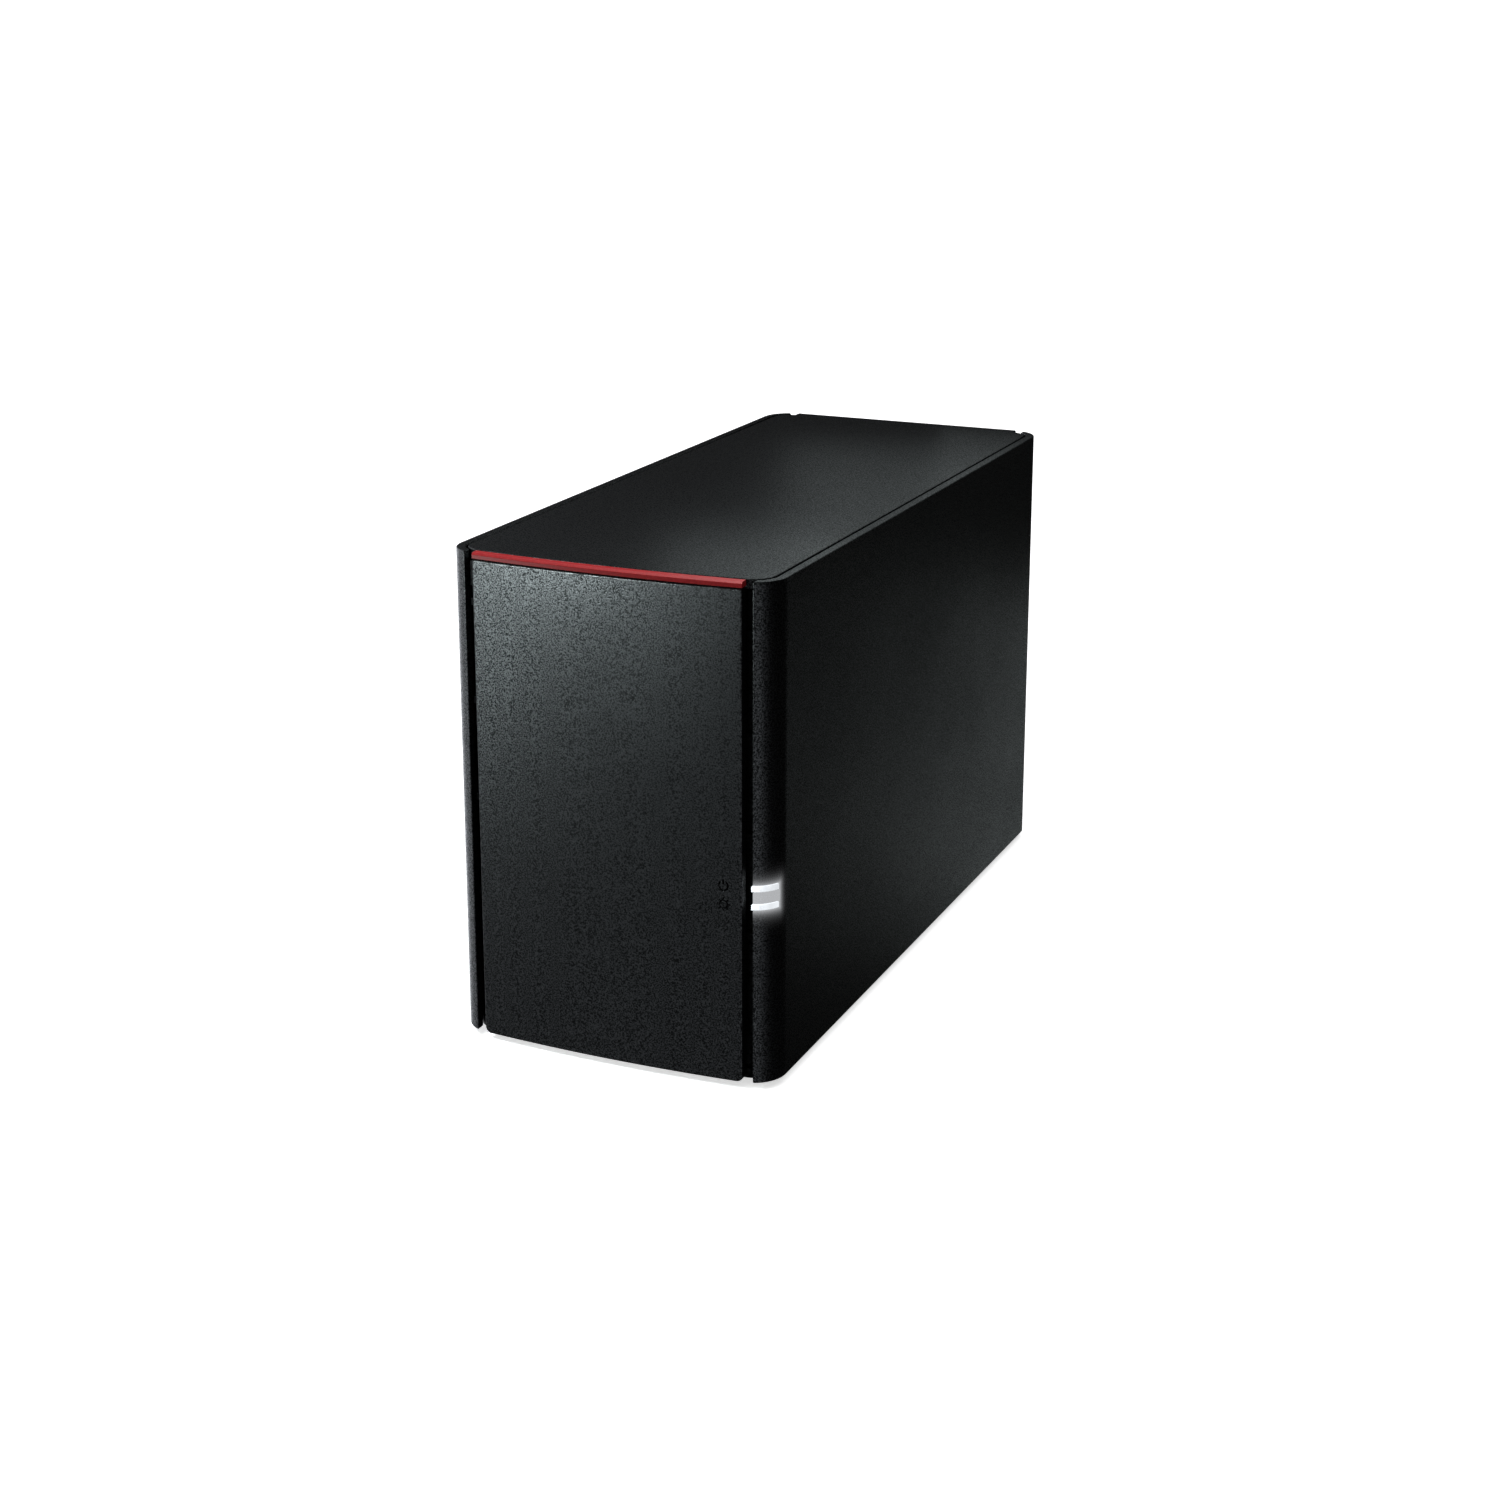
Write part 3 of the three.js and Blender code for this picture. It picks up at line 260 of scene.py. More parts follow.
def red_plastic(name):
    """The accent strip: satin red plastic with a faint fleck."""
    shader = Shader(name, {"Specular IOR Level": 0.5})
    fleck = shader.noise(0.5, detail=2)
    shader.colour(shader.ramp(fleck, [(0.35, (0.42, 0.012, 0.016)), (0.7, (0.56, 0.022, 0.026))]))
    shader.roughness(shader.spread(fleck, 0.36, 0.44))
    shader.bump(fleck, 0.01)
    return shader


def lit_plastic(name):
    """The diffusing light bars, lit white and a little uneven."""
    shader = Shader(name, {"Base Color": (0.9, 0.93, 1.0, 1), "Roughness": 0.3,
                           "Emission Color": (0.93, 0.97, 1.0, 1)})
    haze = shader.noise(2.5, detail=1)
    shader.fill(shader.bsdf, {"Emission Strength": shader.spread(haze, 0.68, 0.85)})
    return shader


def mark_paint(name):
    """Dead black paint in the debossed marks."""
    shader = Shader(name, {"Specular IOR Level": 0.0})
    speck = shader.noise(0.3)
    shader.colour(shader.ramp(speck, [(0.4, grey(0.0)), (0.7, grey(0.002))]))
    shader.roughness(shader.spread(speck, 0.8, 0.9))
    return shader


GLOW_REACH = 0.9  # mm over which the painted glow round the light bars falls to about a third
GLOW_STRENGTH = 0.46
GLOW_SQUASH = 1.5  # how much sooner it ends along the side than up the shell


def glow_on(shader):
    """Painted glow: emission on the shell round the light bars that fades with distance from the bars,
    standing in for the light they spill onto it.
    """
    axes = shader.add("SeparateXYZ", {"Vector": shader.place()}).outputs
    middle = sum(LIGHT_Z) / 2
    half = (LIGHT_Z[1] - LIGHT_Z[0] + LIGHT_BAR) / 2
    above = shader.math("ABSOLUTE", shader.math("SUBTRACT", axes["Z"], middle))
    outside_z = shader.math("MAXIMUM", shader.math("SUBTRACT", above, half), 0.0)
    outside_y = shader.math("MAXIMUM", shader.math("SUBTRACT", axes["Y"], LIGHT_SLOT_BACK), 0.0)
    outside_y = shader.math("MULTIPLY", outside_y, GLOW_SQUASH)
    squares = [shader.math("MULTIPLY", d, d) for d in (outside_z, outside_y)]
    distance = shader.math("SQRT", shader.math("ADD", *squares))
    fade = shader.math("EXPONENT", shader.math("MULTIPLY", distance, -1 / GLOW_REACH))
    shader.fill(shader.bsdf, {"Emission Color": (0.95, 0.97, 1.0, 1),
                              "Emission Strength": shader.math("MULTIPLY", fade, GLOW_STRENGTH)})
    return shader


SHELL_GRAIN = (0.01, 0.09, 0.38)  # pit, crest and roughness
LOOK = {
    "shell": grained_plastic("shell_plastic", *SHELL_GRAIN),
    # the right shell's copy carries painted glow: emission round the light bars standing in for their spill
    # light
    "shell_painted_glow": glow_on(grained_plastic("shell_plastic_painted_glow", *SHELL_GRAIN)),
    # frame plastic: black plastic, made much darker than the shell as painted shade, so that the frame seen
    # deep in the gaps beside the cover stays black
    "frame": grained_plastic("frame_plastic", 0.004, 0.016, 0.45, 0.8, 0.02),
    "accent": red_plastic("accent_red"),
    "rubber": rubber("foot_rubber"),
    "steel": zinc_sheet("zinc_steel"),
    "screw": sheet_metal("screw_steel", (0.55, 0.55, 0.53), 0.3, (1, 1, 1), 0.5),
    "black_screw": sheet_metal("black_screw_steel", (0.06, 0.06, 0.06), 0.35, (1, 1, 1), 0.5),
    "drive_metal": cast_metal("cast_aluminium", (0.62, 0.63, 0.64), 0.42),
    "lid_metal": sheet_metal("lid_steel", (0.68, 0.69, 0.7), 0.25),
    "label": smooth_plastic("label_paper", (0.78, 0.78, 0.75), 0.6),
    "label_band": smooth_plastic("label_band", (0.05, 0.16, 0.1), 0.55),
    "tray": smooth_plastic("tray_plastic", grey(0.05), 0.5, 1.2, 0.03),
    "lever": smooth_plastic("lever_plastic", (0.012, 0.105, 0.19), 0.42),
    "board": circuit_board("board_mask", (0.006, 0.065, 0.04), (0.015, 0.12, 0.07)),
    "chip": smooth_plastic("chip_epoxy", grey(0.018), 0.5, 2.0, 0.02),
    "socket": smooth_plastic("socket_plastic", grey(0.014), 0.4),
    "port_shield": sheet_metal("tinned_shield", (0.7, 0.7, 0.68), 0.22, (1, 1, 1), 1.2),
    "gold": sheet_metal("gold_contacts", (0.85, 0.62, 0.26), 0.25, (1, 1, 1), 0.6),
    "fan": smooth_plastic("fan_plastic", grey(0.016), 0.38),
    "light": lit_plastic("lit_white"),
    "plug": smooth_plastic("nylon_white", (0.72, 0.70, 0.62), 0.45),
    "capacitor": smooth_plastic("capacitor_sleeve", (0.02, 0.04, 0.1), 0.3),
    "heatsink": sheet_metal("heatsink_metal", (0.3, 0.31, 0.33), 0.4),
    "button": smooth_plastic("button_plastic", grey(0.02), 0.32),
    "wire": smooth_plastic("wire_sleeve", grey(0.012), 0.45, 3.0),
    "paint": mark_paint("icon_paint"),
    "port_light": smooth_plastic("port_lens", (0.5, 0.36, 0.05), 0.2),
}


# ---- mesh helpers; everything is made in mm and scaled as it becomes an object ----
def smooth_shaded(mesh, sharp_degrees=35):
    mesh.polygons.foreach_set("use_smooth", [True] * len(mesh.polygons))
    mesh.set_sharp_from_angle(angle=math.radians(sharp_degrees))
    mesh.update()


def round_edges(obj, width, segments=3, degrees=35):
    bevel = obj.modifiers.new("rounded_edges", "BEVEL")
    bevel.width = width * MM
    bevel.segments = segments
    bevel.limit_method = "ANGLE"
    bevel.angle_limit = math.radians(degrees)
    bevel.harden_normals = True
    bevel.use_clamp_overlap = True
    for polygon in obj.data.polygons:
        polygon.use_smooth = True


def flat_normals(obj):
    """Lets the large faces set the shading, so that rounded edges don't darken them."""
    weighted = obj.modifiers.new("face_normals", "WEIGHTED_NORMAL")
    weighted.mode = "FACE_AREA"
    weighted.keep_sharp = True


def object_from(name, bm, look):
    bmesh.ops.recalc_face_normals(bm, faces=bm.faces)
    bmesh.ops.scale(bm, vec=(MM, MM, MM), verts=bm.verts)
    mesh = bpy.data.meshes.new(name)
    bm.to_mesh(mesh)
    bm.free()
    mesh.materials.append(LOOK[look].material)
    obj = bpy.data.objects.new(name, mesh)
    bpy.context.scene.collection.objects.link(obj)
    return obj


def attach(obj, body, nodes=()):
    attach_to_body(obj, body)
    if nodes:
        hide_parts(*nodes)
    return obj


def add_box(bm, lo, hi, turn=None):
    """A box between two corners, or turned about its middle by a matrix."""
    corners = [(x, y, z) for x in (0, 1) for y in (0, 1) for z in (0, 1)]
    middle = (Vector(lo) + Vector(hi)) / 2
    made = []
    for corner in corners:
        point = Vector([hi[i] if corner[i] else lo[i] for i in range(3)])
        if turn is not None:
            point = turn @ (point - middle) + middle
        made.append(bm.verts.new(point))
    for face in ((0, 1, 3, 2), (4, 6, 7, 5), (0, 4, 5, 1), (2, 3, 7, 6), (0, 2, 6, 4), (1, 5, 7, 3)):
        bm.faces.new([made[i] for i in face])


def lathe(bm, profile, sides=32, turn=None, middle=(0, 0, 0)):
    """A solid turned about Z from (radius, height) pairs that start and end on the axis."""
    turn = turn or Matrix.Identity(3)
    rings = []
    for radius, height in profile:
        count = 1 if radius == 0 else sides
        turns = [2 * math.pi * i / count for i in range(count)]
        points = [(radius * math.cos(a), radius * math.sin(a), height) for a in turns]
        rings.append([bm.verts.new(turn @ Vector(p) + Vector(middle)) for p in points])
    for low, high in zip(rings, rings[1:]):
        for i in range(sides):
            ends = (low[i % len(low)], low[(i + 1) % sides % len(low)],
                    high[(i + 1) % sides % len(high)], high[i % len(high)])
            bm.faces.new(list(dict.fromkeys(ends)))


FACING = {
    "+z": Matrix.Identity(3),
    "-z": Matrix.Rotation(math.pi, 3, "X"),
    "+y": Matrix.Rotation(-math.pi / 2, 3, "X"),
    "-y": Matrix.Rotation(math.pi / 2, 3, "X"),
    "+x": Matrix.Rotation(math.pi / 2, 3, "Y"),
    "-x": Matrix.Rotation(-math.pi / 2, 3, "Y"),
}


def wall_between(bm, outer, inner, heights, is_open=lambda column, row: False):
    """A curved wall between an outer and an inner plan line, cut into rows at the heights. Cells
    that is_open names are left out, and the wall is closed round them."""
    grid = []
    for out, inn in zip(outer, inner):
        grid.append([(bm.verts.new((*out, z)), bm.verts.new((*inn, z))) for z in heights])
    columns, rows = len(grid) - 1, len(grid[0]) - 1

    def solid(i, j):
        return 0 <= i < columns and 0 <= j < rows and not is_open(i, j)

    for i in range(columns):
        for j in range(rows):
            if not solid(i, j):
                continue
            a, b, c, d = grid[i][j], grid[i + 1][j], grid[i + 1][j + 1], grid[i][j + 1]
            for layer in (0, 1):
                bm.faces.new([corner[layer] for corner in (a, b, c, d)])
            for (near, far), beside in (((a, b), (i, j - 1)), ((b, c), (i + 1, j)),
                                        ((c, d), (i, j + 1)), ((d, a), (i - 1, j))):
                if not solid(*beside):
                    bm.faces.new((near[0], far[0], far[1], near[1]))
    loose = [v for v in bm.verts if not v.link_faces]
    bmesh.ops.delete(bm, geom=loose, context="VERTS")


def carve(obj, cutters=()):
    """Applies obj's modifiers, and cuts the cutters out of it."""
    for cutter in cutters:
        modifier = obj.modifiers.new("cut", "BOOLEAN")
        modifier.operation = "DIFFERENCE"
        modifier.solver = "EXACT"
        modifier.use_self = True  # a cutter's parts may overlap each other
        modifier.object = cutter
    bpy.context.view_layer.update()
    evaluated = obj.evaluated_get(bpy.context.evaluated_depsgraph_get())
    mesh = bpy.data.meshes.new_from_object(evaluated)
    obj.modifiers.clear()
    obj.data = mesh
    for cutter in cutters:
        bpy.data.objects.remove(cutter)
    return obj


# ---- plan lines of the case ----
def arc(x, y, radius, start, end, steps):
    angles = [start + (end - start) * i / steps for i in range(steps + 1)]
    return [(x + radius * math.cos(a), y + radius * math.sin(a)) for a in angles]


def bow_y(x, inset=0.0):
    return BOW_CENTRE_Y - math.sqrt((BOW_RADIUS - inset) ** 2 - x ** 2)


def top_outline(inset, tongue_half):
    """The case outline moved in by inset, with a tongue between the shells out to the rear face."""
    bow = [CORNER_X * i / BOW_STEPS for i in range(BOW_STEPS + 1)]
    right = [(x, bow_y(x, inset)) for x in bow]
    right += arc(CORNER_X, CORNER_Y, CORNER - inset, BOW_END, 0, CORNER_STEPS)[1:]
    reach = math.acos((tongue_half - CORNER_X) / (CORNER - inset))
    right += arc(CORNER_X, REAR_CORNER_Y, CORNER - inset, 0, reach, CORNER_STEPS)
    right.append((tongue_half, REAR))
    return right + [(-x, y) for x, y in reversed(right[1:])]


def shell_line(radius):
    """Plan line of a side shell at one corner radius, from its front end to its rear end."""
    start = -math.acos((RETURN_X - CORNER_X) / radius)
    middle = math.asin((LIGHT_SLOT_BACK - CORNER_Y) / radius)
    line = arc(CORNER_X, CORNER_Y, radius, start, middle, SLOT_STEPS)
    line += arc(CORNER_X, CORNER_Y, radius, middle, 0, 8)[1:]
    return line + arc(CORNER_X, REAR_CORNER_Y, radius, 0, -start, CORNER_STEPS)


# ---- outer pieces ----
def make_side_shell(side):
    """One side wall that wraps round both corners; the right-hand one has the two light slots, with a painted
    glow round them.
    """
    bm = bmesh.new()
    edges = [z + d for z in LIGHT_Z for d in (-LIGHT_SLOT / 2, LIGHT_SLOT / 2)]
    heights = [CASE_BOTTOM, *edges, CASE_TOP]
    outer, inner = shell_line(CORNER), shell_line(CORNER - SHELL)
    slots = (1, 3) if side > 0 else ()
    wall_between(bm, outer, inner, heights, lambda column, row: column < SLOT_STEPS and row in slots)
    if side < 0:
        bmesh.ops.scale(bm, vec=(-1, 1, 1), verts=bm.verts)
    name = "right" if side > 0 else "left"
    shell = object_from(f"side_wall_{name}", bm, "shell_painted_glow" if side > 0 else "shell")
    round_edges(shell, 0.35)
    attach(shell, "chassis", [f"{name}_side_shell"])


SKIRT_X = (38.6, 40.1)  # inner and outer face of a skirt, from the centre plane
SKIRT_END = 84


def make_top():
    """The top panel, with its skirts down inside the side walls."""
    bm = bmesh.new()
    outline = top_outline(SHELL + SEAM, FACE_HALF)
    bottom = [bm.verts.new((x, y, CASE_TOP - PLATE)) for x, y in outline]
    top = [bm.verts.new((x, y, CASE_TOP)) for x, y in outline]
    bm.faces.new(bottom)
    bm.faces.new(top)
    for i in range(len(outline)):
        j = (i + 1) % len(outline)
        bm.faces.new((bottom[i], bottom[j], top[j], top[i]))
    for side in SIDES:
        near, far = sorted(side * x for x in SKIRT_X)
        add_box(bm, (near, -SKIRT_END, SKIRT_FOOT), (far, SKIRT_END, CASE_TOP - PLATE))
    panel = object_from("top_panel", bm, "shell")
    round_edges(panel, 0.25)
    attach(panel, "chassis", ["top_cover"])


def arc_band(bm, centre, radii, angles, depth, steps=28):
    """A flat ring, or part of one, facing the front: between two radii and two depths along Y."""
    turns = [math.radians(angles[0] + (angles[1] - angles[0]) * i / steps) for i in range(steps + 1)]
    whole = abs(angles[1] - angles[0]) >= 360
    section = ((radii[0], depth[0]), (radii[1], depth[0]), (radii[1], depth[1]), (radii[0], depth[1]))
    rings = []
    for a in turns[:-1] if whole else turns:
        rings.append([bm.verts.new((centre[0] + r * math.cos(a), y, centre[1] + r * math.sin(a)))
                      for r, y in section])
    count = len(rings)
    for i in range(count if whole else count - 1):
        near, far = rings[i], rings[(i + 1) % count]
        for k in range(4):
            bm.faces.new((near[k], near[(k + 1) % 4], far[(k + 1) % 4], far[k]))
    if not whole:
        bm.faces.new(rings[0])
        bm.faces.new(rings[-1])


ICON_X = FACE_HALF - 4.75
ICON_DEPTH = 0.3  # how deep the marks are debossed
POWER_RING = (0.95, 1.4)
POWER_BAR = {"half": 0.22, "foot": 0.3, "tip": 1.6}
GEAR_RING = (0.8, 1.2)
GEAR_TEETH = 8
TOOTH = {"reach": 1.45, "half_length": 0.24, "half_width": 0.2}


def power_icon(bm, depth):
    """A ring that is open above, with a bar in the opening."""
    z = LIGHT_Z[1] + 0.2
    half = POWER_BAR["half"]
    arc_band(bm, (ICON_X, z), POWER_RING, (125, 415), depth)
    add_box(bm, (ICON_X - half, depth[0], z + POWER_BAR["foot"]),
            (ICON_X + half, depth[1], z + POWER_BAR["tip"]))


def gear_icon(bm, depth):
    """A ring with teeth round it."""
    z = LIGHT_Z[0] + 0.1
    arc_band(bm, (ICON_X, z), GEAR_RING, (0, 360), depth)
    half = Vector((TOOTH["half_length"], (depth[1] - depth[0]) / 2, TOOTH["half_width"]))
    for i in range(GEAR_TEETH):
        turn = Matrix.Rotation(math.radians(360 / GEAR_TEETH * i), 3, "Y")
        reach = turn @ Vector((TOOTH["reach"], 0, 0))
        middle = Vector((ICON_X + reach.x, (depth[0] + depth[1]) / 2, z + reach.z))
        add_box(bm, middle - half, middle + half, turn)


def bend_along_bow(obj, columns=36):
    """Cuts a flat plate into columns and lays it along the bow of the front."""
    bm = bmesh.new()
    bm.from_mesh(obj.data)
    for i in range(1, columns):
        x = FACE_HALF * MM * (2 * i / columns - 1)
        bmesh.ops.bisect_plane(bm, geom=bm.verts[:] + bm.edges[:] + bm.faces[:], dist=1e-7,
                               plane_co=(x, 0, 0), plane_no=(1, 0, 0))
    for v in bm.verts:
        v.co.y += (bow_y(v.co.x / MM) - FRONT) * MM
    bm.to_mesh(obj.data)
    bm.free()
    obj.data.update()


def plate_outline(radius, steps=8):
    """The cover's face outline: square above, rounded at its two lower corners."""
    turns = [math.pi / 2 * i / steps for i in range(steps + 1)]
    right = [(FACE_HALF - radius + radius * math.sin(t), CASE_BOTTOM + radius - radius * math.cos(t))
             for t in turns]
    left = [(-x, z) for x, z in reversed(right)]
    return right + [(FACE_HALF, COVER_HI.z), (-FACE_HALF, COVER_HI.z)] + left


COVER_FOOT_RADIUS = 1.6  # the cover's two lower corners
LUG = {"x": (33.2, 34.8), "z": (20, 108), "height": 6}  # inner and outer face, feet of each pair
RIB = {"half": 30, "z": (14, 62, 114), "height": 1.5, "proud": 1.4}


def make_cover():
    """The bowed front cover with its rounded lower corners and debossed marks."""
    bm = bmesh.new()
    outline = plate_outline(COVER_FOOT_RADIUS)
    layers = [[bm.verts.new((x, y, z)) for x, z in outline] for y in (FRONT, FRONT + SHELL)]
    for layer in layers:
        bm.faces.new(layer)
    for i in range(len(outline)):
        j = (i + 1) % len(outline)
        bm.faces.new((layers[0][i], layers[0][j], layers[1][j], layers[1][i]))
    cover = object_from("front_cover_skin", bm, "shell")
    round_edges(cover, 0.4, 3, 50)
    carve(cover)
    bend_along_bow(cover)
    face = bow_y(ICON_X)
    marks = bmesh.new()
    for icon in (power_icon, gear_icon):
        icon(marks, (face - 1, face + ICON_DEPTH))
    carve(cover, [object_from("mark_cutter", marks, "shell")])
    smooth_shaded(cover.data, 50)
    flat_normals(cover)
    attach(cover, "front_cover", ["front_cover"])


def make_cover_paint():
    """Dark paint in the bottom of the marks."""
    floor = bow_y(ICON_X) + ICON_DEPTH
    for name, icon in (("power_mark", power_icon), ("settings_mark", gear_icon)):
        bm = bmesh.new()
        icon(bm, (floor - 0.12, floor + 0.02))
        attach(object_from(name, bm, "paint"), "front_cover")


def make_cover_lugs():
    """The lugs that hold the cover in the front frame, and the ribs that stiffen it."""
    bm = bmesh.new()
    for side in SIDES:
        near, far = sorted(side * x for x in LUG["x"])
        for z in LUG["z"]:
            add_box(bm, (near, FRONT + SHELL + 0.4, z), (far, COVER_HI.y, z + LUG["height"]))
    for z in RIB["z"]:
        add_box(bm, (-RIB["half"], FRONT + 2, z),
                (RIB["half"], FRONT + SHELL + RIB["proud"], z + RIB["height"]))
    lugs = object_from("front_cover_lugs", bm, "frame")
    round_edges(lugs, 0.2, 2)
    attach(lugs, "front_cover")


def make_accent():
    """The red strip over the cover: an upright band with a sloped top edge, along the bow."""
    slope = 0.5
    front = [(0, STRIP_FOOT), (0, CASE_TOP - slope), (slope, CASE_TOP)]
    profile = front + [(SHELL, CASE_TOP), (SHELL, STRIP_FOOT)]
    bm = bmesh.new()
    near, far = [[bm.verts.new((x, FRONT + inset, z)) for inset, z in profile]
                 for x in (-FACE_HALF, FACE_HALF)]
    bm.faces.new(near)
    bm.faces.new(far)
    for k in range(len(profile)):
        m = (k + 1) % len(profile)
        bm.faces.new((near[k], near[m], far[m], far[k]))
    strip = object_from("accent_band", bm, "accent")
    round_edges(strip, 0.08)
    carve(strip)
    bend_along_bow(strip)
    smooth_shaded(strip.data, 50)
    flat_normals(strip)
    attach(strip, "front_cover", ["accent_strip"])


LIGHT_GUIDE = {"x": (38.3, 39.6), "front": FRONT + 2.6, "back": -91, "half": 0.6}
LIGHT_BAR_START = RETURN_X - 0.3  # the bars reach a little past the shell's end
LIGHT_BAR_BACK = LIGHT_SLOT_BACK - 0.15


def make_light_bars():
    """A curved lens in each slot, with a light guide back to the light board."""
    lines = []
    for radius in (CORNER, CORNER - SHELL):
        start = -math.acos((LIGHT_BAR_START - CORNER_X) / radius)
        end = math.asin((LIGHT_BAR_BACK - CORNER_Y) / radius)
        lines.append(arc(CORNER_X, CORNER_Y, radius, start, end, 14))
    near, far = LIGHT_GUIDE["x"]
    for name, z in zip(("lower_light_bar", "upper_light_bar"), LIGHT_Z):
        heights = [z - LIGHT_BAR / 2, z + LIGHT_BAR / 2]
        bm = bmesh.new()
        wall_between(bm, *lines, heights)
        add_box(bm, (near, LIGHT_GUIDE["front"], z - LIGHT_GUIDE["half"]),
                (far, LIGHT_GUIDE["back"], z + LIGHT_GUIDE["half"]))
        bar = object_from(f"{name}_lens", bm, "light")
        round_edges(bar, 0.15, 2)
        attach(bar, "chassis", [name])


FOOT_AT = (31, 84)
FOOT_PROFILE = [(0, 2), (4.5, 2), (4.5, 0.7), (4.3, 0.25), (3.9, 0), (2.2, 0), (1.9, 0.3), (0, 0.3)]


def make_feet():
    """Four rubber feet, each with a dimple in its sole."""
    places = [(sx, sy) for sy in SIDES for sx in SIDES]
    for number, (sx, sy) in enumerate(places, 1):
        bm = bmesh.new()
        lathe(bm, FOOT_PROFILE, 40, None, (sx * FOOT_AT[0], sy * FOOT_AT[1], 0))
        foot = object_from(f"rubber_foot_{number}", bm, "rubber")
        smooth_shaded(foot.data)
        attach(foot, "chassis", [f"foot_{number}"])


# ---- screws ----
def screw_mesh(name, head, shank, look):
    """A pan-head screw with a cross recess; its head faces +Z with the top at the origin."""
    radius, height = head
    thread, length = shank
    bm = bmesh.new()
    lathe(bm, [(0, 0), (radius * 0.55, 0), (radius * 0.85, -0.12), (radius, -0.4), (radius, -height),
               (thread, -height), (thread, -length + 0.6), (thread * 0.6, -length), (0, -length)], 28)
    blank = object_from(name, bm, look)
    bm = bmesh.new()
    arm, half = radius * 0.58, radius * 0.13
    add_box(bm, (-arm, -half, -height * 0.75), (arm, half, 1))
    add_box(bm, (-half, -arm, -height * 0.75), (half, arm, 1))
    carve(blank, [object_from(name + "_cutter", bm, look)])
    mesh = blank.data
    smooth_shaded(mesh)
    bpy.data.objects.remove(blank)
    return mesh


def place_screw(name, mesh, where, facing, body, node=None):
    screw = bpy.data.objects.new(name, mesh)
    bpy.context.scene.collection.objects.link(screw)
    screw.matrix_world = Matrix.Translation(Vector(where) * MM) @ FACING[facing].to_4x4()
    attach(screw, body, [node] if node else [])


HEAD = (2.9, 1.4)  # radius and height
TRAY_SCREW_HEAD = (2.7, 1.0)
THREAD_RADIUS = 1.5


def make_case_screws():
    """Four screws up through the base, and four black ones that hold the fan."""
    base = screw_mesh("case_screw_mesh", HEAD, (THREAD_RADIUS, 15), "screw")
    rear = screw_mesh("fan_screw_mesh", HEAD, (THREAD_RADIUS, 9.5), "black_screw")
    for number in range(1, 5):
        node = f"case_screw_{number}"
        lo, hi = box_of(node)
        middle = (lo + hi) / 2
        place_screw(f"base_screw_{number}", base, (middle.x, middle.y, lo.z), "-z", "chassis", node)
        node = f"fan_screw_{number}"
        lo, hi = box_of(node)
        middle = (lo + hi) / 2
        place_screw(f"rear_screw_{number}", rear, (middle.x, hi.y, middle.z), "+y", "chassis", node)


def make_drive_screws():
    """Four screws in each drive: the two of the frame, and two more at the other corners."""
    tray = screw_mesh("tray_screw_mesh", TRAY_SCREW_HEAD, (THREAD_RADIUS, 6.4), "screw")
    for bay in BAYS:
        places = [box_of(f"tray_screw_{bay}_{i}") for i in (1, 2)]
        centres = [(lo + hi) / 2 for lo, hi in places]
        face = places[0][1].x
        crossed = [(centres[0].y, centres[1].z), (centres[1].y, centres[0].z)]
        for i, centre in enumerate(centres, 1):
            place_screw(f"drive_screw_{bay}_{i}", tray, (face, centre.y, centre.z), "+x", f"drive_tray_{bay}",
                        f"tray_screw_{bay}_{i}")
        for i, (y, z) in enumerate(crossed, 3):
            place_screw(f"drive_screw_{bay}_{i}", tray, (face, y, z), "+x", f"drive_tray_{bay}")


# ---- drives: what is on their lids and boards ----
LID_LABELS = (  # name, from and to along Y and Z from the lid's middle, how far it stands out
    ("label", (-8, 44), (-34, 34), 0.08),
    ("label_band", (34, 43), (-33, 33), 0.11),
)
STUD_INSET = 5  # from the lid's edges
STUD_PROFILE = [(0, 0.16), (1.6, 0.16), (2.1, 0.05), (2.1, -0.2), (0, -0.2)]
SPINDLE_AT = (-42, 71)  # the cap over the platters' spindle
SPINDLE_PROFILE = [(0, 0.15), (5.5, 0.15), (6, 0), (6, -0.2), (0, -0.2)]
SUNK = 0.1  # how far a part's foot goes into what it stands on
DRIVE_CHIPS = (  # middle along Y and Z, half sizes, height
    (18, 62, 6, 6, 1.1),
    (-6, 88, 5, 5, 0.9),
    (34, 92, 4, 6, 0.9),
    (-8, 48, 3, 4, 0.8),
    (38, 50, 3, 3, 0.8),
)
SMALL_PARTS = {"columns": 9, "first": -14, "pitch": 6.2, "upper": 104, "drop": 66, "stagger": 1.7}
SMALL_PART = {"half_length": 0.8, "half_width": 0.45, "height": 0.5}


def make_lid_details(bay):
    """The labels, fixings and spindle cap on a drive's lid."""
    body = f"drive_tray_{bay}"
    lo, hi = box_of(f"drive_lid_{bay}")
    middle = (lo + hi) / 2
    for name, (y0, y1), (z0, z1), proud in LID_LABELS:
        bm = bmesh.new()
        add_box(bm, (lo.x - proud, middle.y + y0, middle.z + z0), (lo.x + SUNK, middle.y + y1, middle.z + z1))
        sheet = object_from(f"drive_{name}_{bay}", bm, name)
        round_edges(sheet, 0.03, 1)
        attach(sheet, body)
    bm = bmesh.new()
    for y in (lo.y + STUD_INSET, middle.y, hi.y - STUD_INSET):
        for z in (lo.z + STUD_INSET, hi.z - STUD_INSET):
            lathe(bm, STUD_PROFILE, 20, FACING["-x"], (lo.x, y, z))
    lathe(bm, SPINDLE_PROFILE, 36, FACING["-x"], (lo.x, *SPINDLE_AT))
    studs = object_from(f"lid_fixings_{bay}", bm, "screw")
    smooth_shaded(studs.data)
    attach(studs, body)


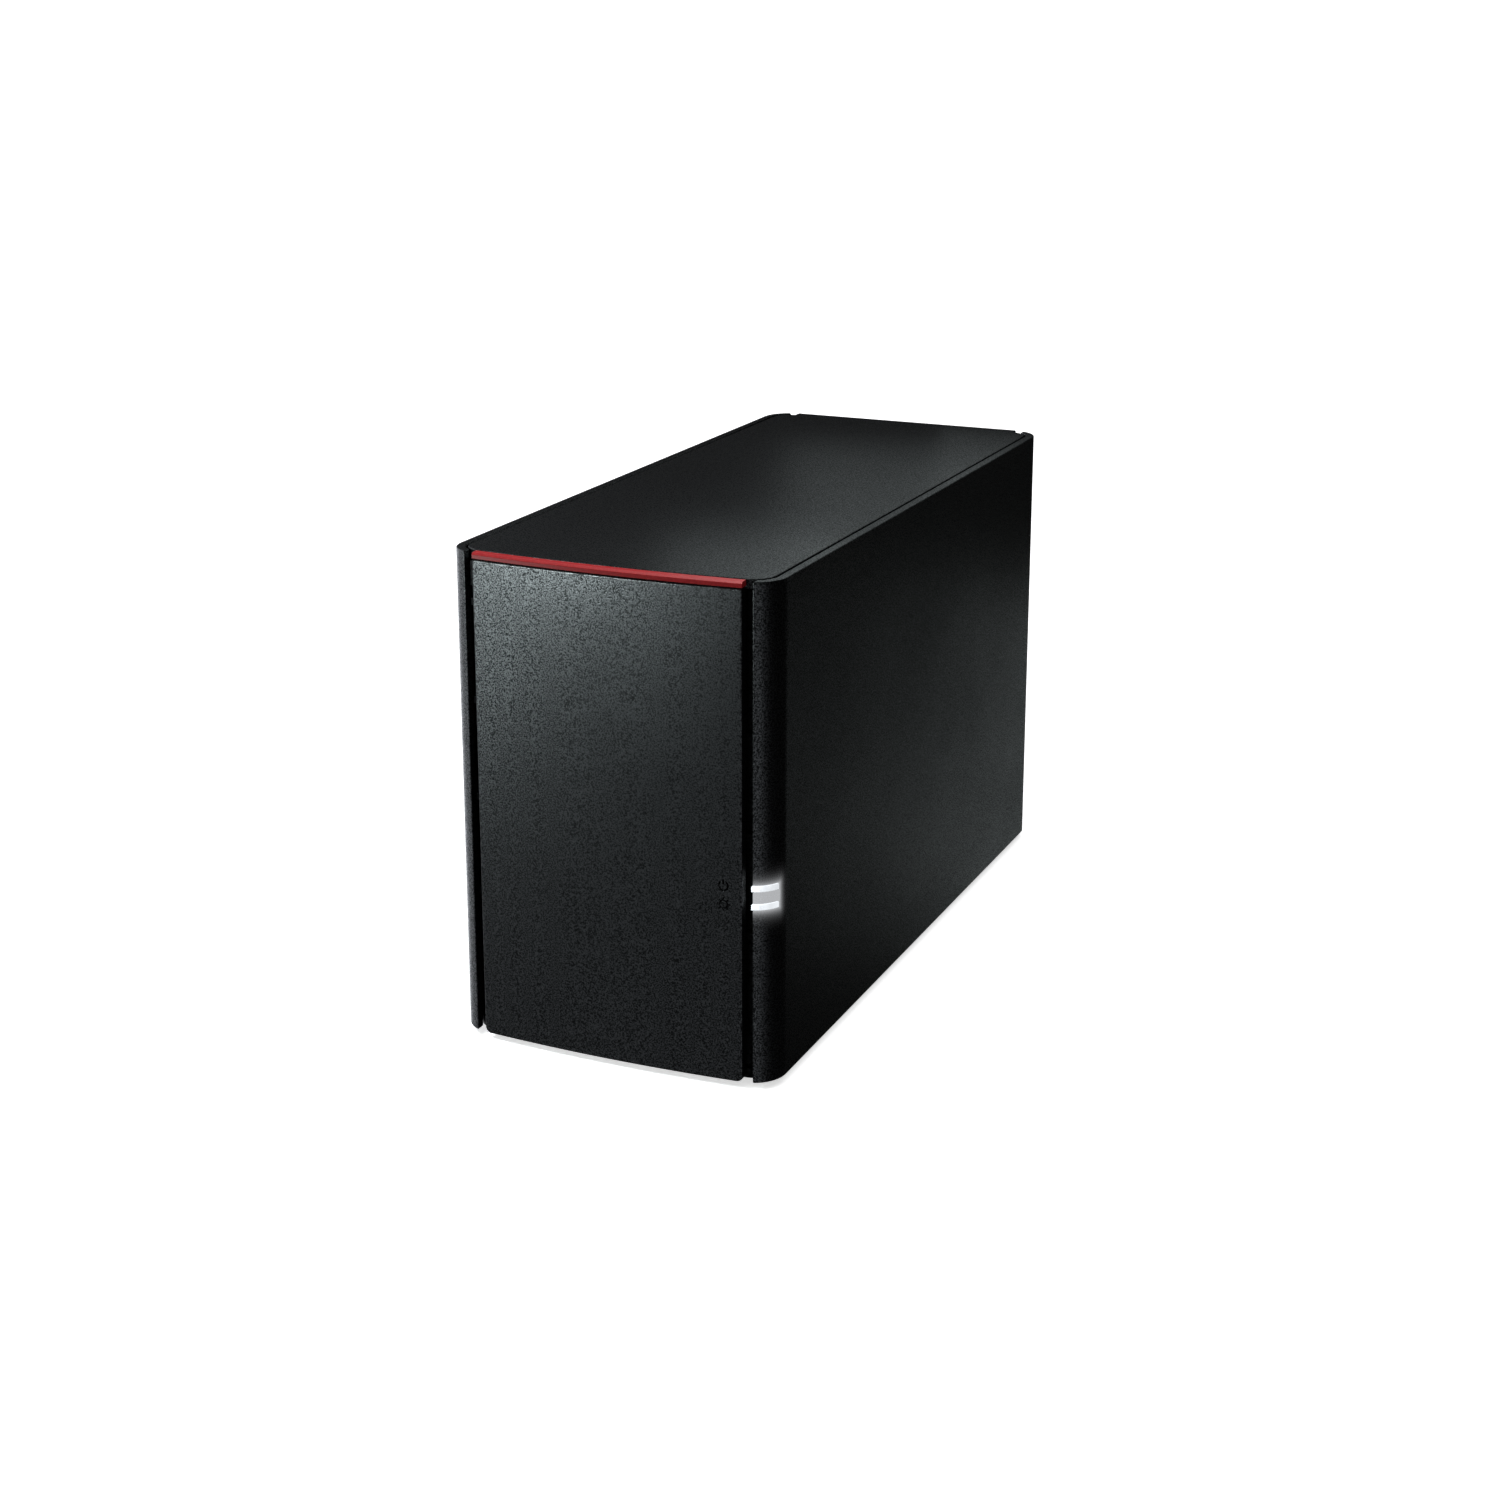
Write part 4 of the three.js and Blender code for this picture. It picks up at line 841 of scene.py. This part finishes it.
def make_board_details(bay):
    """The chips and the rows of small parts on a drive's circuit board."""
    body = f"drive_tray_{bay}"
    face = box_of(f"drive_board_{bay}")[0].x + 1
    bm = bmesh.new()
    for y, z, half_y, half_z, height in DRIVE_CHIPS:
        add_box(bm, (face - SUNK, y - half_y, z - half_z), (face + height, y + half_y, z + half_z))
    chips = object_from(f"drive_chips_{bay}", bm, "chip")
    round_edges(chips, 0.15, 2)
    attach(chips, body)
    bm = bmesh.new()
    length, width = SMALL_PART["half_length"], SMALL_PART["half_width"]
    for i in range(SMALL_PARTS["columns"]):
        for row in (0, 1):
            y = SMALL_PARTS["first"] + SMALL_PARTS["pitch"] * i
            z = SMALL_PARTS["upper"] - SMALL_PARTS["drop"] * row + (i % 3) * SMALL_PARTS["stagger"]
            add_box(bm, (face - SUNK, y - length, z - width),
                    (face + SMALL_PART["height"], y + length, z + width))
    parts = object_from(f"drive_small_parts_{bay}", bm, "port_shield")
    attach(parts, body)


# ---- fan ----
BLADES = 7
BLADE_STEPS = 6  # along a blade, and across it
BLADE_THICKNESS = 0.9
BLADE_REACH = (12.4, 27)  # from inside the hub to the tip
BLADE_PITCH = (44, 26)  # degrees, at root and tip
BLADE_CHORD = (10.5, 15)  # at root and tip
BLADE_SWEEP = 0.32  # radians from root to tip
HUB_LENGTH = 9.8
SHAFT_RADIUS = 1.5


def between(ends, share):
    return ends[0] + (ends[1] - ends[0]) * share


def blade_points(radius, pitch, chord, turn, middle_y):
    """Two rows of points, front and back of a blade's section at one radius."""
    rows = []
    for face in (-0.5, 0.5):
        row = []
        for i in range(BLADE_STEPS + 1):
            share = i / BLADE_STEPS
            along = chord * (share - 0.5)
            camber = 0.09 * chord * (1 - (2 * share - 1) ** 2)
            around = along * math.cos(pitch) + camber * math.sin(pitch)
            forward = along * math.sin(pitch) - camber * math.cos(pitch) + face * BLADE_THICKNESS
            angle = turn + around / radius
            row.append((radius * math.cos(angle), middle_y + forward, FAN_Z + radius * math.sin(angle)))
        rows.append(row)
    return rows


def make_rotor():
    """The fan's hub and its seven swept blades."""
    bm = bmesh.new()
    middle_y = (ROTOR_LO.y + ROTOR_HI.y) / 2 - BLADE_THICKNESS
    shaft_end = ROTOR_HI.y - ROTOR_LO.y
    hub = [(0, 0), (11.6, 0), (12.6, -0.5), (13, -1.4), (13, -HUB_LENGTH)]
    shaft = [(SHAFT_RADIUS, -HUB_LENGTH), (SHAFT_RADIUS, -shaft_end), (0, -shaft_end)]
    lathe(bm, hub + shaft, 48, FACING["-y"], (0, ROTOR_LO.y, FAN_Z))
    for k in range(BLADES):
        sections = []
        for i in range(BLADE_STEPS + 1):
            share = i / BLADE_STEPS
            pitch = math.radians(between(BLADE_PITCH, share))
            turn = 2 * math.pi * k / BLADES + BLADE_SWEEP * share
            radius = between(BLADE_REACH, share)
            rows = blade_points(radius, pitch, between(BLADE_CHORD, share), turn, middle_y)
            sections.append([[bm.verts.new(p) for p in row] for row in rows])
        for near, far in zip(sections, sections[1:]):
            for face in (0, 1):
                for i in range(BLADE_STEPS):
                    bm.faces.new((near[face][i], near[face][i + 1], far[face][i + 1], far[face][i]))
            for i in (0, BLADE_STEPS):
                bm.faces.new((near[0][i], near[1][i], far[1][i], far[0][i]))
        for end in (sections[0], sections[-1]):
            bm.faces.new(end[0] + end[1][::-1])
    rotor = object_from("fan_impeller", bm, "fan")
    smooth_shaded(rotor.data, 40)
    attach(rotor, "fan_rotor", ["fan_rotor"])


# ---- what is in the ports ----
def spaced(middle, count, pitch):
    """count places, pitch apart, about a middle."""
    return [middle + (i - (count - 1) / 2) * pitch for i in range(count)]


LAN_CONTACT = {"half": 0.2, "y": (90.5, 99.5), "z": (3.4, 3.7), "tilt": -14}  # z above the jack's foot
LAN_LENS = {"x": 5.9, "half": 1.3, "depth": 0.5, "proud": 0.08, "z": (2.2, 0.6)}  # z below its top


def make_lan_details():
    """The network jack's eight contacts and its two status lenses."""
    middle = (LAN_LO.x + LAN_HI.x) / 2
    half = LAN_CONTACT["half"]
    turn = Matrix.Rotation(math.radians(LAN_CONTACT["tilt"]), 3, "X")
    bm = bmesh.new()
    for x in spaced(middle, 8, 1.02):
        add_box(bm, (x - half, LAN_CONTACT["y"][0], LAN_LO.z + LAN_CONTACT["z"][0]),
                (x + half, LAN_CONTACT["y"][1], LAN_LO.z + LAN_CONTACT["z"][1]), turn)
    contacts = object_from("lan_contacts", bm, "gold")
    attach(contacts, "chassis")
    bm = bmesh.new()
    half = LAN_LENS["half"]
    for x in spaced(middle, 2, 2 * LAN_LENS["x"]):
        add_box(bm, (x - half, LAN_HI.y - LAN_LENS["depth"], LAN_HI.z - LAN_LENS["z"][0]),
                (x + half, LAN_HI.y + LAN_LENS["proud"], LAN_HI.z - LAN_LENS["z"][1]))
    lenses = object_from("lan_status_lenses", bm, "port_light")
    round_edges(lenses, 0.12, 2)
    attach(lenses, "chassis")


USB_TONGUE = {"half": 5.5, "front": 88.2, "inset": 1.15, "z": (3.05, 4.65)}  # z above the port's foot
USB_CONTACT = {"half": 0.5, "front": 90, "inset": 2, "z": (2.98, 3.2)}


def make_usb_details():
    """The USB port's tongue and the four contacts under it."""
    middle = (USB_LO.x + USB_HI.x) / 2
    half = USB_TONGUE["half"]
    bm = bmesh.new()
    add_box(bm, (middle - half, USB_TONGUE["front"], USB_LO.z + USB_TONGUE["z"][0]),
            (middle + half, REAR - USB_TONGUE["inset"], USB_LO.z + USB_TONGUE["z"][1]))
    tongue = object_from("usb_tongue", bm, "lever")
    round_edges(tongue, 0.15, 2)
    attach(tongue, "chassis")
    bm = bmesh.new()
    half = USB_CONTACT["half"]
    for x in spaced(middle, 4, 2.4):
        add_box(bm, (x - half, USB_CONTACT["front"], USB_LO.z + USB_CONTACT["z"][0]),
                (x + half, REAR - USB_CONTACT["inset"], USB_LO.z + USB_CONTACT["z"][1]))
    attach(object_from("usb_contacts", bm, "gold"), "chassis")


PIN_PROFILE = [(0, 0), (0.7, 0), (1.05, -0.5), (1.05, -9.6), (0, -9.6)]
PIN_INSET = 1.4  # of its tip from the rear face


def make_inlet_pin():
    """The centre pin of the power inlet."""
    inlet = (INLET_LO + INLET_HI) / 2
    bm = bmesh.new()
    lathe(bm, PIN_PROFILE, 24, FACING["+y"], (inlet.x, REAR - PIN_INSET, inlet.z))
    pin = object_from("power_inlet_pin", bm, "port_shield")
    smooth_shaded(pin.data)
    attach(pin, "chassis")


# ---- the CAD nodes that stay: rounded edges and a material each ----
KEPT = {
    "frame": (["base_tray", "front_frame"], 0.25),
    "shell": (["rear_panel"], 0.3),
    "steel": (["drive_cage"], 0.15),
    "board": (["main_board", "backplane_board", "light_board", "drive_board_1", "drive_board_2"], 0.1),
    "socket": (["edge_socket", "drive_connector_1", "drive_connector_2", "power_inlet", "power_switch",
                "function_switch"], 0.15),
    "chip": (["processor", "memory_chip"], 0.15),
    "heatsink": (["heatsink"], 0.12),
    "capacitor": (["capacitor"], 0.3),
    "port_shield": (["lan_jack", "usb_port"], 0.1),
    "button": (["power_button", "function_button"], 0.3),
    "wire": (["light_lead", "fan_lead"], 0.0),
    "plug": (["light_plug", "fan_plug"], 0.3),
    "fan": (["fan_frame"], 0.25),
    "tray": (["tray_1", "tray_2"], 0.2),
    "lever": (["tray_lever_1", "tray_lever_2"], 0.3),
    "drive_metal": (["drive_body_1", "drive_body_2"], 0.35),
    "lid_metal": (["drive_lid_1", "drive_lid_2"], 0.2),
}


def dress_cad_nodes():
    """Gives each kept node its material, one smooth skin in place of its triangles, and soft edges."""
    for look, (nodes, width) in KEPT.items():
        for name in nodes:
            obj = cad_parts[name]
            obj.data.materials.clear()
            obj.data.materials.append(LOOK[look].material)
            custom = obj.data.attributes.get("custom_normal")
            if custom:
                obj.data.attributes.remove(custom)
            for flag in ("sharp_edge", "sharp_face"):
                marks = obj.data.attributes.get(flag)
                if marks:
                    obj.data.attributes.remove(marks)
            weld = obj.modifiers.new("joined_triangles", "WELD")
            weld.merge_threshold = 0.002 * MM
            if width:
                round_edges(obj, width, 2)
            else:
                for polygon in obj.data.polygons:
                    polygon.use_smooth = True


# ---- studio ----
FLOOR_RADIUS = 30000


def make_floor():
    """A pale floor that the object doesn't mirror. It glows a little, so that shadows stay soft."""
    bm = bmesh.new()
    bmesh.ops.create_circle(bm, cap_ends=True, segments=64, radius=FLOOR_RADIUS)
    shader = Shader("pale_floor", {"Roughness": 0.9, "Specular IOR Level": 0.0,
                                   "Emission Color": (1, 1, 1, 1), "Emission Strength": 0.64})
    shader.colour(shader.ramp(shader.noise(400), [(0.3, (0.93, 0.93, 0.93)), (0.7, (0.95, 0.95, 0.95))]))
    LOOK["floor"] = shader
    floor = object_from("floor", bm, "floor")
    floor.visible_glossy = False
    floor.visible_diffuse = False
    floor.visible_shadow = False


def add_soft_box(name, azimuth, elevation, distance, size, radiance, aim, colour):
    """A rectangular soft box, placed by its direction from aim: azimuth 0 is in front, 90 to the right."""
    a, e = math.radians(azimuth), math.radians(elevation)
    away = Vector((math.sin(a) * math.cos(e), -math.cos(a) * math.cos(e), math.sin(e)))
    data = bpy.data.lights.new(name, "AREA")
    data.shape = "RECTANGLE"
    data.size, data.size_y = size
    data.energy = radiance * math.pi * size[0] * size[1]
    data.color = colour
    light = bpy.data.objects.new(name, data)
    bpy.context.scene.collection.objects.link(light)
    light.location = Vector(aim) + away * distance
    light.rotation_euler = (-away).to_track_quat("-Z", "Y").to_euler()
    light.visible_camera = False
    return light


def light_only(light, target, state="INCLUDE"):
    """Limits a light to one object, or with EXCLUDE keeps it off that object."""
    group = bpy.data.collections.new(light.name + "_reach")
    group.objects.link(bpy.data.objects[target])
    group.collection_objects[0].light_linking.link_state = state
    light.light_linking.receiver_collection = group


def add_sky(strength, degrees):
    """A wide sun that lights only the floor, so that the case leaves a faint shadow close round it."""
    data = bpy.data.lights.new("overhead", "SUN")
    data.energy = strength
    data.angle = math.radians(degrees)
    light = bpy.data.objects.new("overhead", data)
    bpy.context.scene.collection.objects.link(light)
    light_only(light, "floor")


# What the lights are aimed at, in metres, and their colours.
CASE_MIDDLE = (0, 0, 0.06)
COVER_CORNER = (-0.03, -0.102, 0.127)
COVER_EDGE = (-0.04, -0.1, 0.1)
TOP_CORNER = (0.04, -0.095, 0.127)
REAR_LOW_CORNER = (0.0435, 0.098, 0.03)
REAR_EDGE = (0.0435, 0.098, 0.05)
COOL = (0.95, 0.98, 1.04)
CYAN = (0.9, 1.0, 1.0)
SKY = (2.4, 90)  # strength, width in degrees
SOFT_BOXES = (  # name, azimuth, elevation, distance and size in metres, radiance, aim, colour
    ("front_wash", -12, -30, 1.5, (2.4, 0.6), 0.36, CASE_MIDDLE, COOL),
    ("corner_wash", 35, -12, 1.0, (0.5, 0.9), 0.5, CASE_MIDDLE, COOL),
    ("rear_wash", 205, 14, 1.2, (0.6, 0.5), 0.03, CASE_MIDDLE, COOL),
    ("cover_glow_left", -42, -10, 0.2, (0.06, 0.06), 8.0, COVER_EDGE, CYAN),
    ("cover_glow_top", -20, 8, 0.1, (0.06, 0.03), 53.0, COVER_CORNER, CYAN),
    ("top_glow_front", 188, 20, 0.2, (0.1, 0.1), 0.34, TOP_CORNER, CYAN),
    ("top_glow_rear", 175, 16, 0.2, (0.1, 0.1), 0.17, TOP_CORNER, CYAN),
    ("top_glow_high", 205, 30, 0.1, (0.05, 0.05), 0.75, TOP_CORNER, CYAN),
    ("side_glow_low", 160, -30, 0.15, (0.06, 0.06), 0.23, REAR_LOW_CORNER, CYAN),
    ("side_glow_under", 160, -40, 0.15, (0.06, 0.06), 0.25, REAR_LOW_CORNER, CYAN),
    ("side_glow_back", 175, -19, 0.2, (0.08, 0.1), 0.24, REAR_EDGE, CYAN),
    ("side_glow_rear", 172, -10, 0.15, (0.06, 0.06), 0.2, REAR_LOW_CORNER, CYAN),
    ("strip_key", 0, 78, 1.2, (0.6, 0.6), 9.5, CASE_MIDDLE, (1, 1, 1)),
    ("strip_sheen", -42, -12, 0.2, (0.06, 0.06), 7.0, COVER_EDGE, (1, 1, 1)),
    ("left_wash", -80, -10, 1.0, (0.6, 0.8), 1.2, CASE_MIDDLE, COOL),
    ("edge_wash", -118, -10, 1.0, (0.5, 0.8), 1.8, CASE_MIDDLE, COOL),
    ("left_fill", 262, 20, 1.2, (0.7, 0.7), 1.4, CASE_MIDDLE, COOL),
    ("rear_low_fill", 218, -15, 1.2, (0.9, 0.6), 2.8, CASE_MIDDLE, COOL),
    ("rear_fill", 238, 45, 1.3, (0.5, 0.5), 2.0, CASE_MIDDLE, COOL),
)


def make_lights():
    """The soft boxes; the cover's glows spare the red strip, which has lights of its own."""
    add_sky(*SKY)
    for row in SOFT_BOXES:
        light = add_soft_box(*row)
        if row[0].startswith("cover_glow"):
            light_only(light, "accent_band", "EXCLUDE")
        if row[0].startswith("strip"):
            light_only(light, "accent_band")


WORLD_FILL = 0.02  # how bright the white surroundings are to anything but the camera


def make_world():
    """White where the camera sees it, and nearly black as a source of light."""
    world = bpy.data.worlds.new("studio")
    world.use_nodes = True
    tree = world.node_tree
    background = tree.nodes["Background"]
    path = tree.nodes.new("ShaderNodeLightPath")
    seen = tree.nodes.new("ShaderNodeMapRange")
    seen.inputs["To Min"].default_value = WORLD_FILL
    seen.inputs["To Max"].default_value = 1.0
    tree.links.new(path.outputs["Is Camera Ray"], seen.inputs["Value"])
    tree.links.new(seen.outputs["Result"], background.inputs["Strength"])
    background.inputs["Color"].default_value = (1, 1, 1, 1)
    bpy.context.scene.world = world


CAMERA_AT = (0.2576, -0.5983, 0.2655)  # metres
CAMERA_DOWN = 14.69  # degrees below the horizon
CAMERA_LEFT = 23.86  # degrees round from straight at the front
LENS = 58.89
LENS_SHIFT = -0.1


def make_camera():
    data = bpy.data.cameras.new("camera")
    data.sensor_width = 36
    data.lens = LENS
    data.shift_y = LENS_SHIFT
    camera = bpy.data.objects.new("camera", data)
    bpy.context.scene.collection.objects.link(camera)
    camera.location = CAMERA_AT
    camera.rotation_euler = (math.radians(90 - CAMERA_DOWN), 0, math.radians(CAMERA_LEFT))
    bpy.context.scene.camera = camera


for shell_side in SIDES:
    make_side_shell(shell_side)
make_top()
make_cover()
make_cover_paint()
make_cover_lugs()
make_accent()
make_light_bars()
make_feet()
make_case_screws()
make_drive_screws()
for bay_number in BAYS:
    make_lid_details(bay_number)
    make_board_details(bay_number)
make_rotor()
make_lan_details()
make_usb_details()
make_inlet_pin()
dress_cad_nodes()
make_floor()
make_lights()
make_world()
make_camera()
bpy.context.scene.view_settings.view_transform = "Standard"
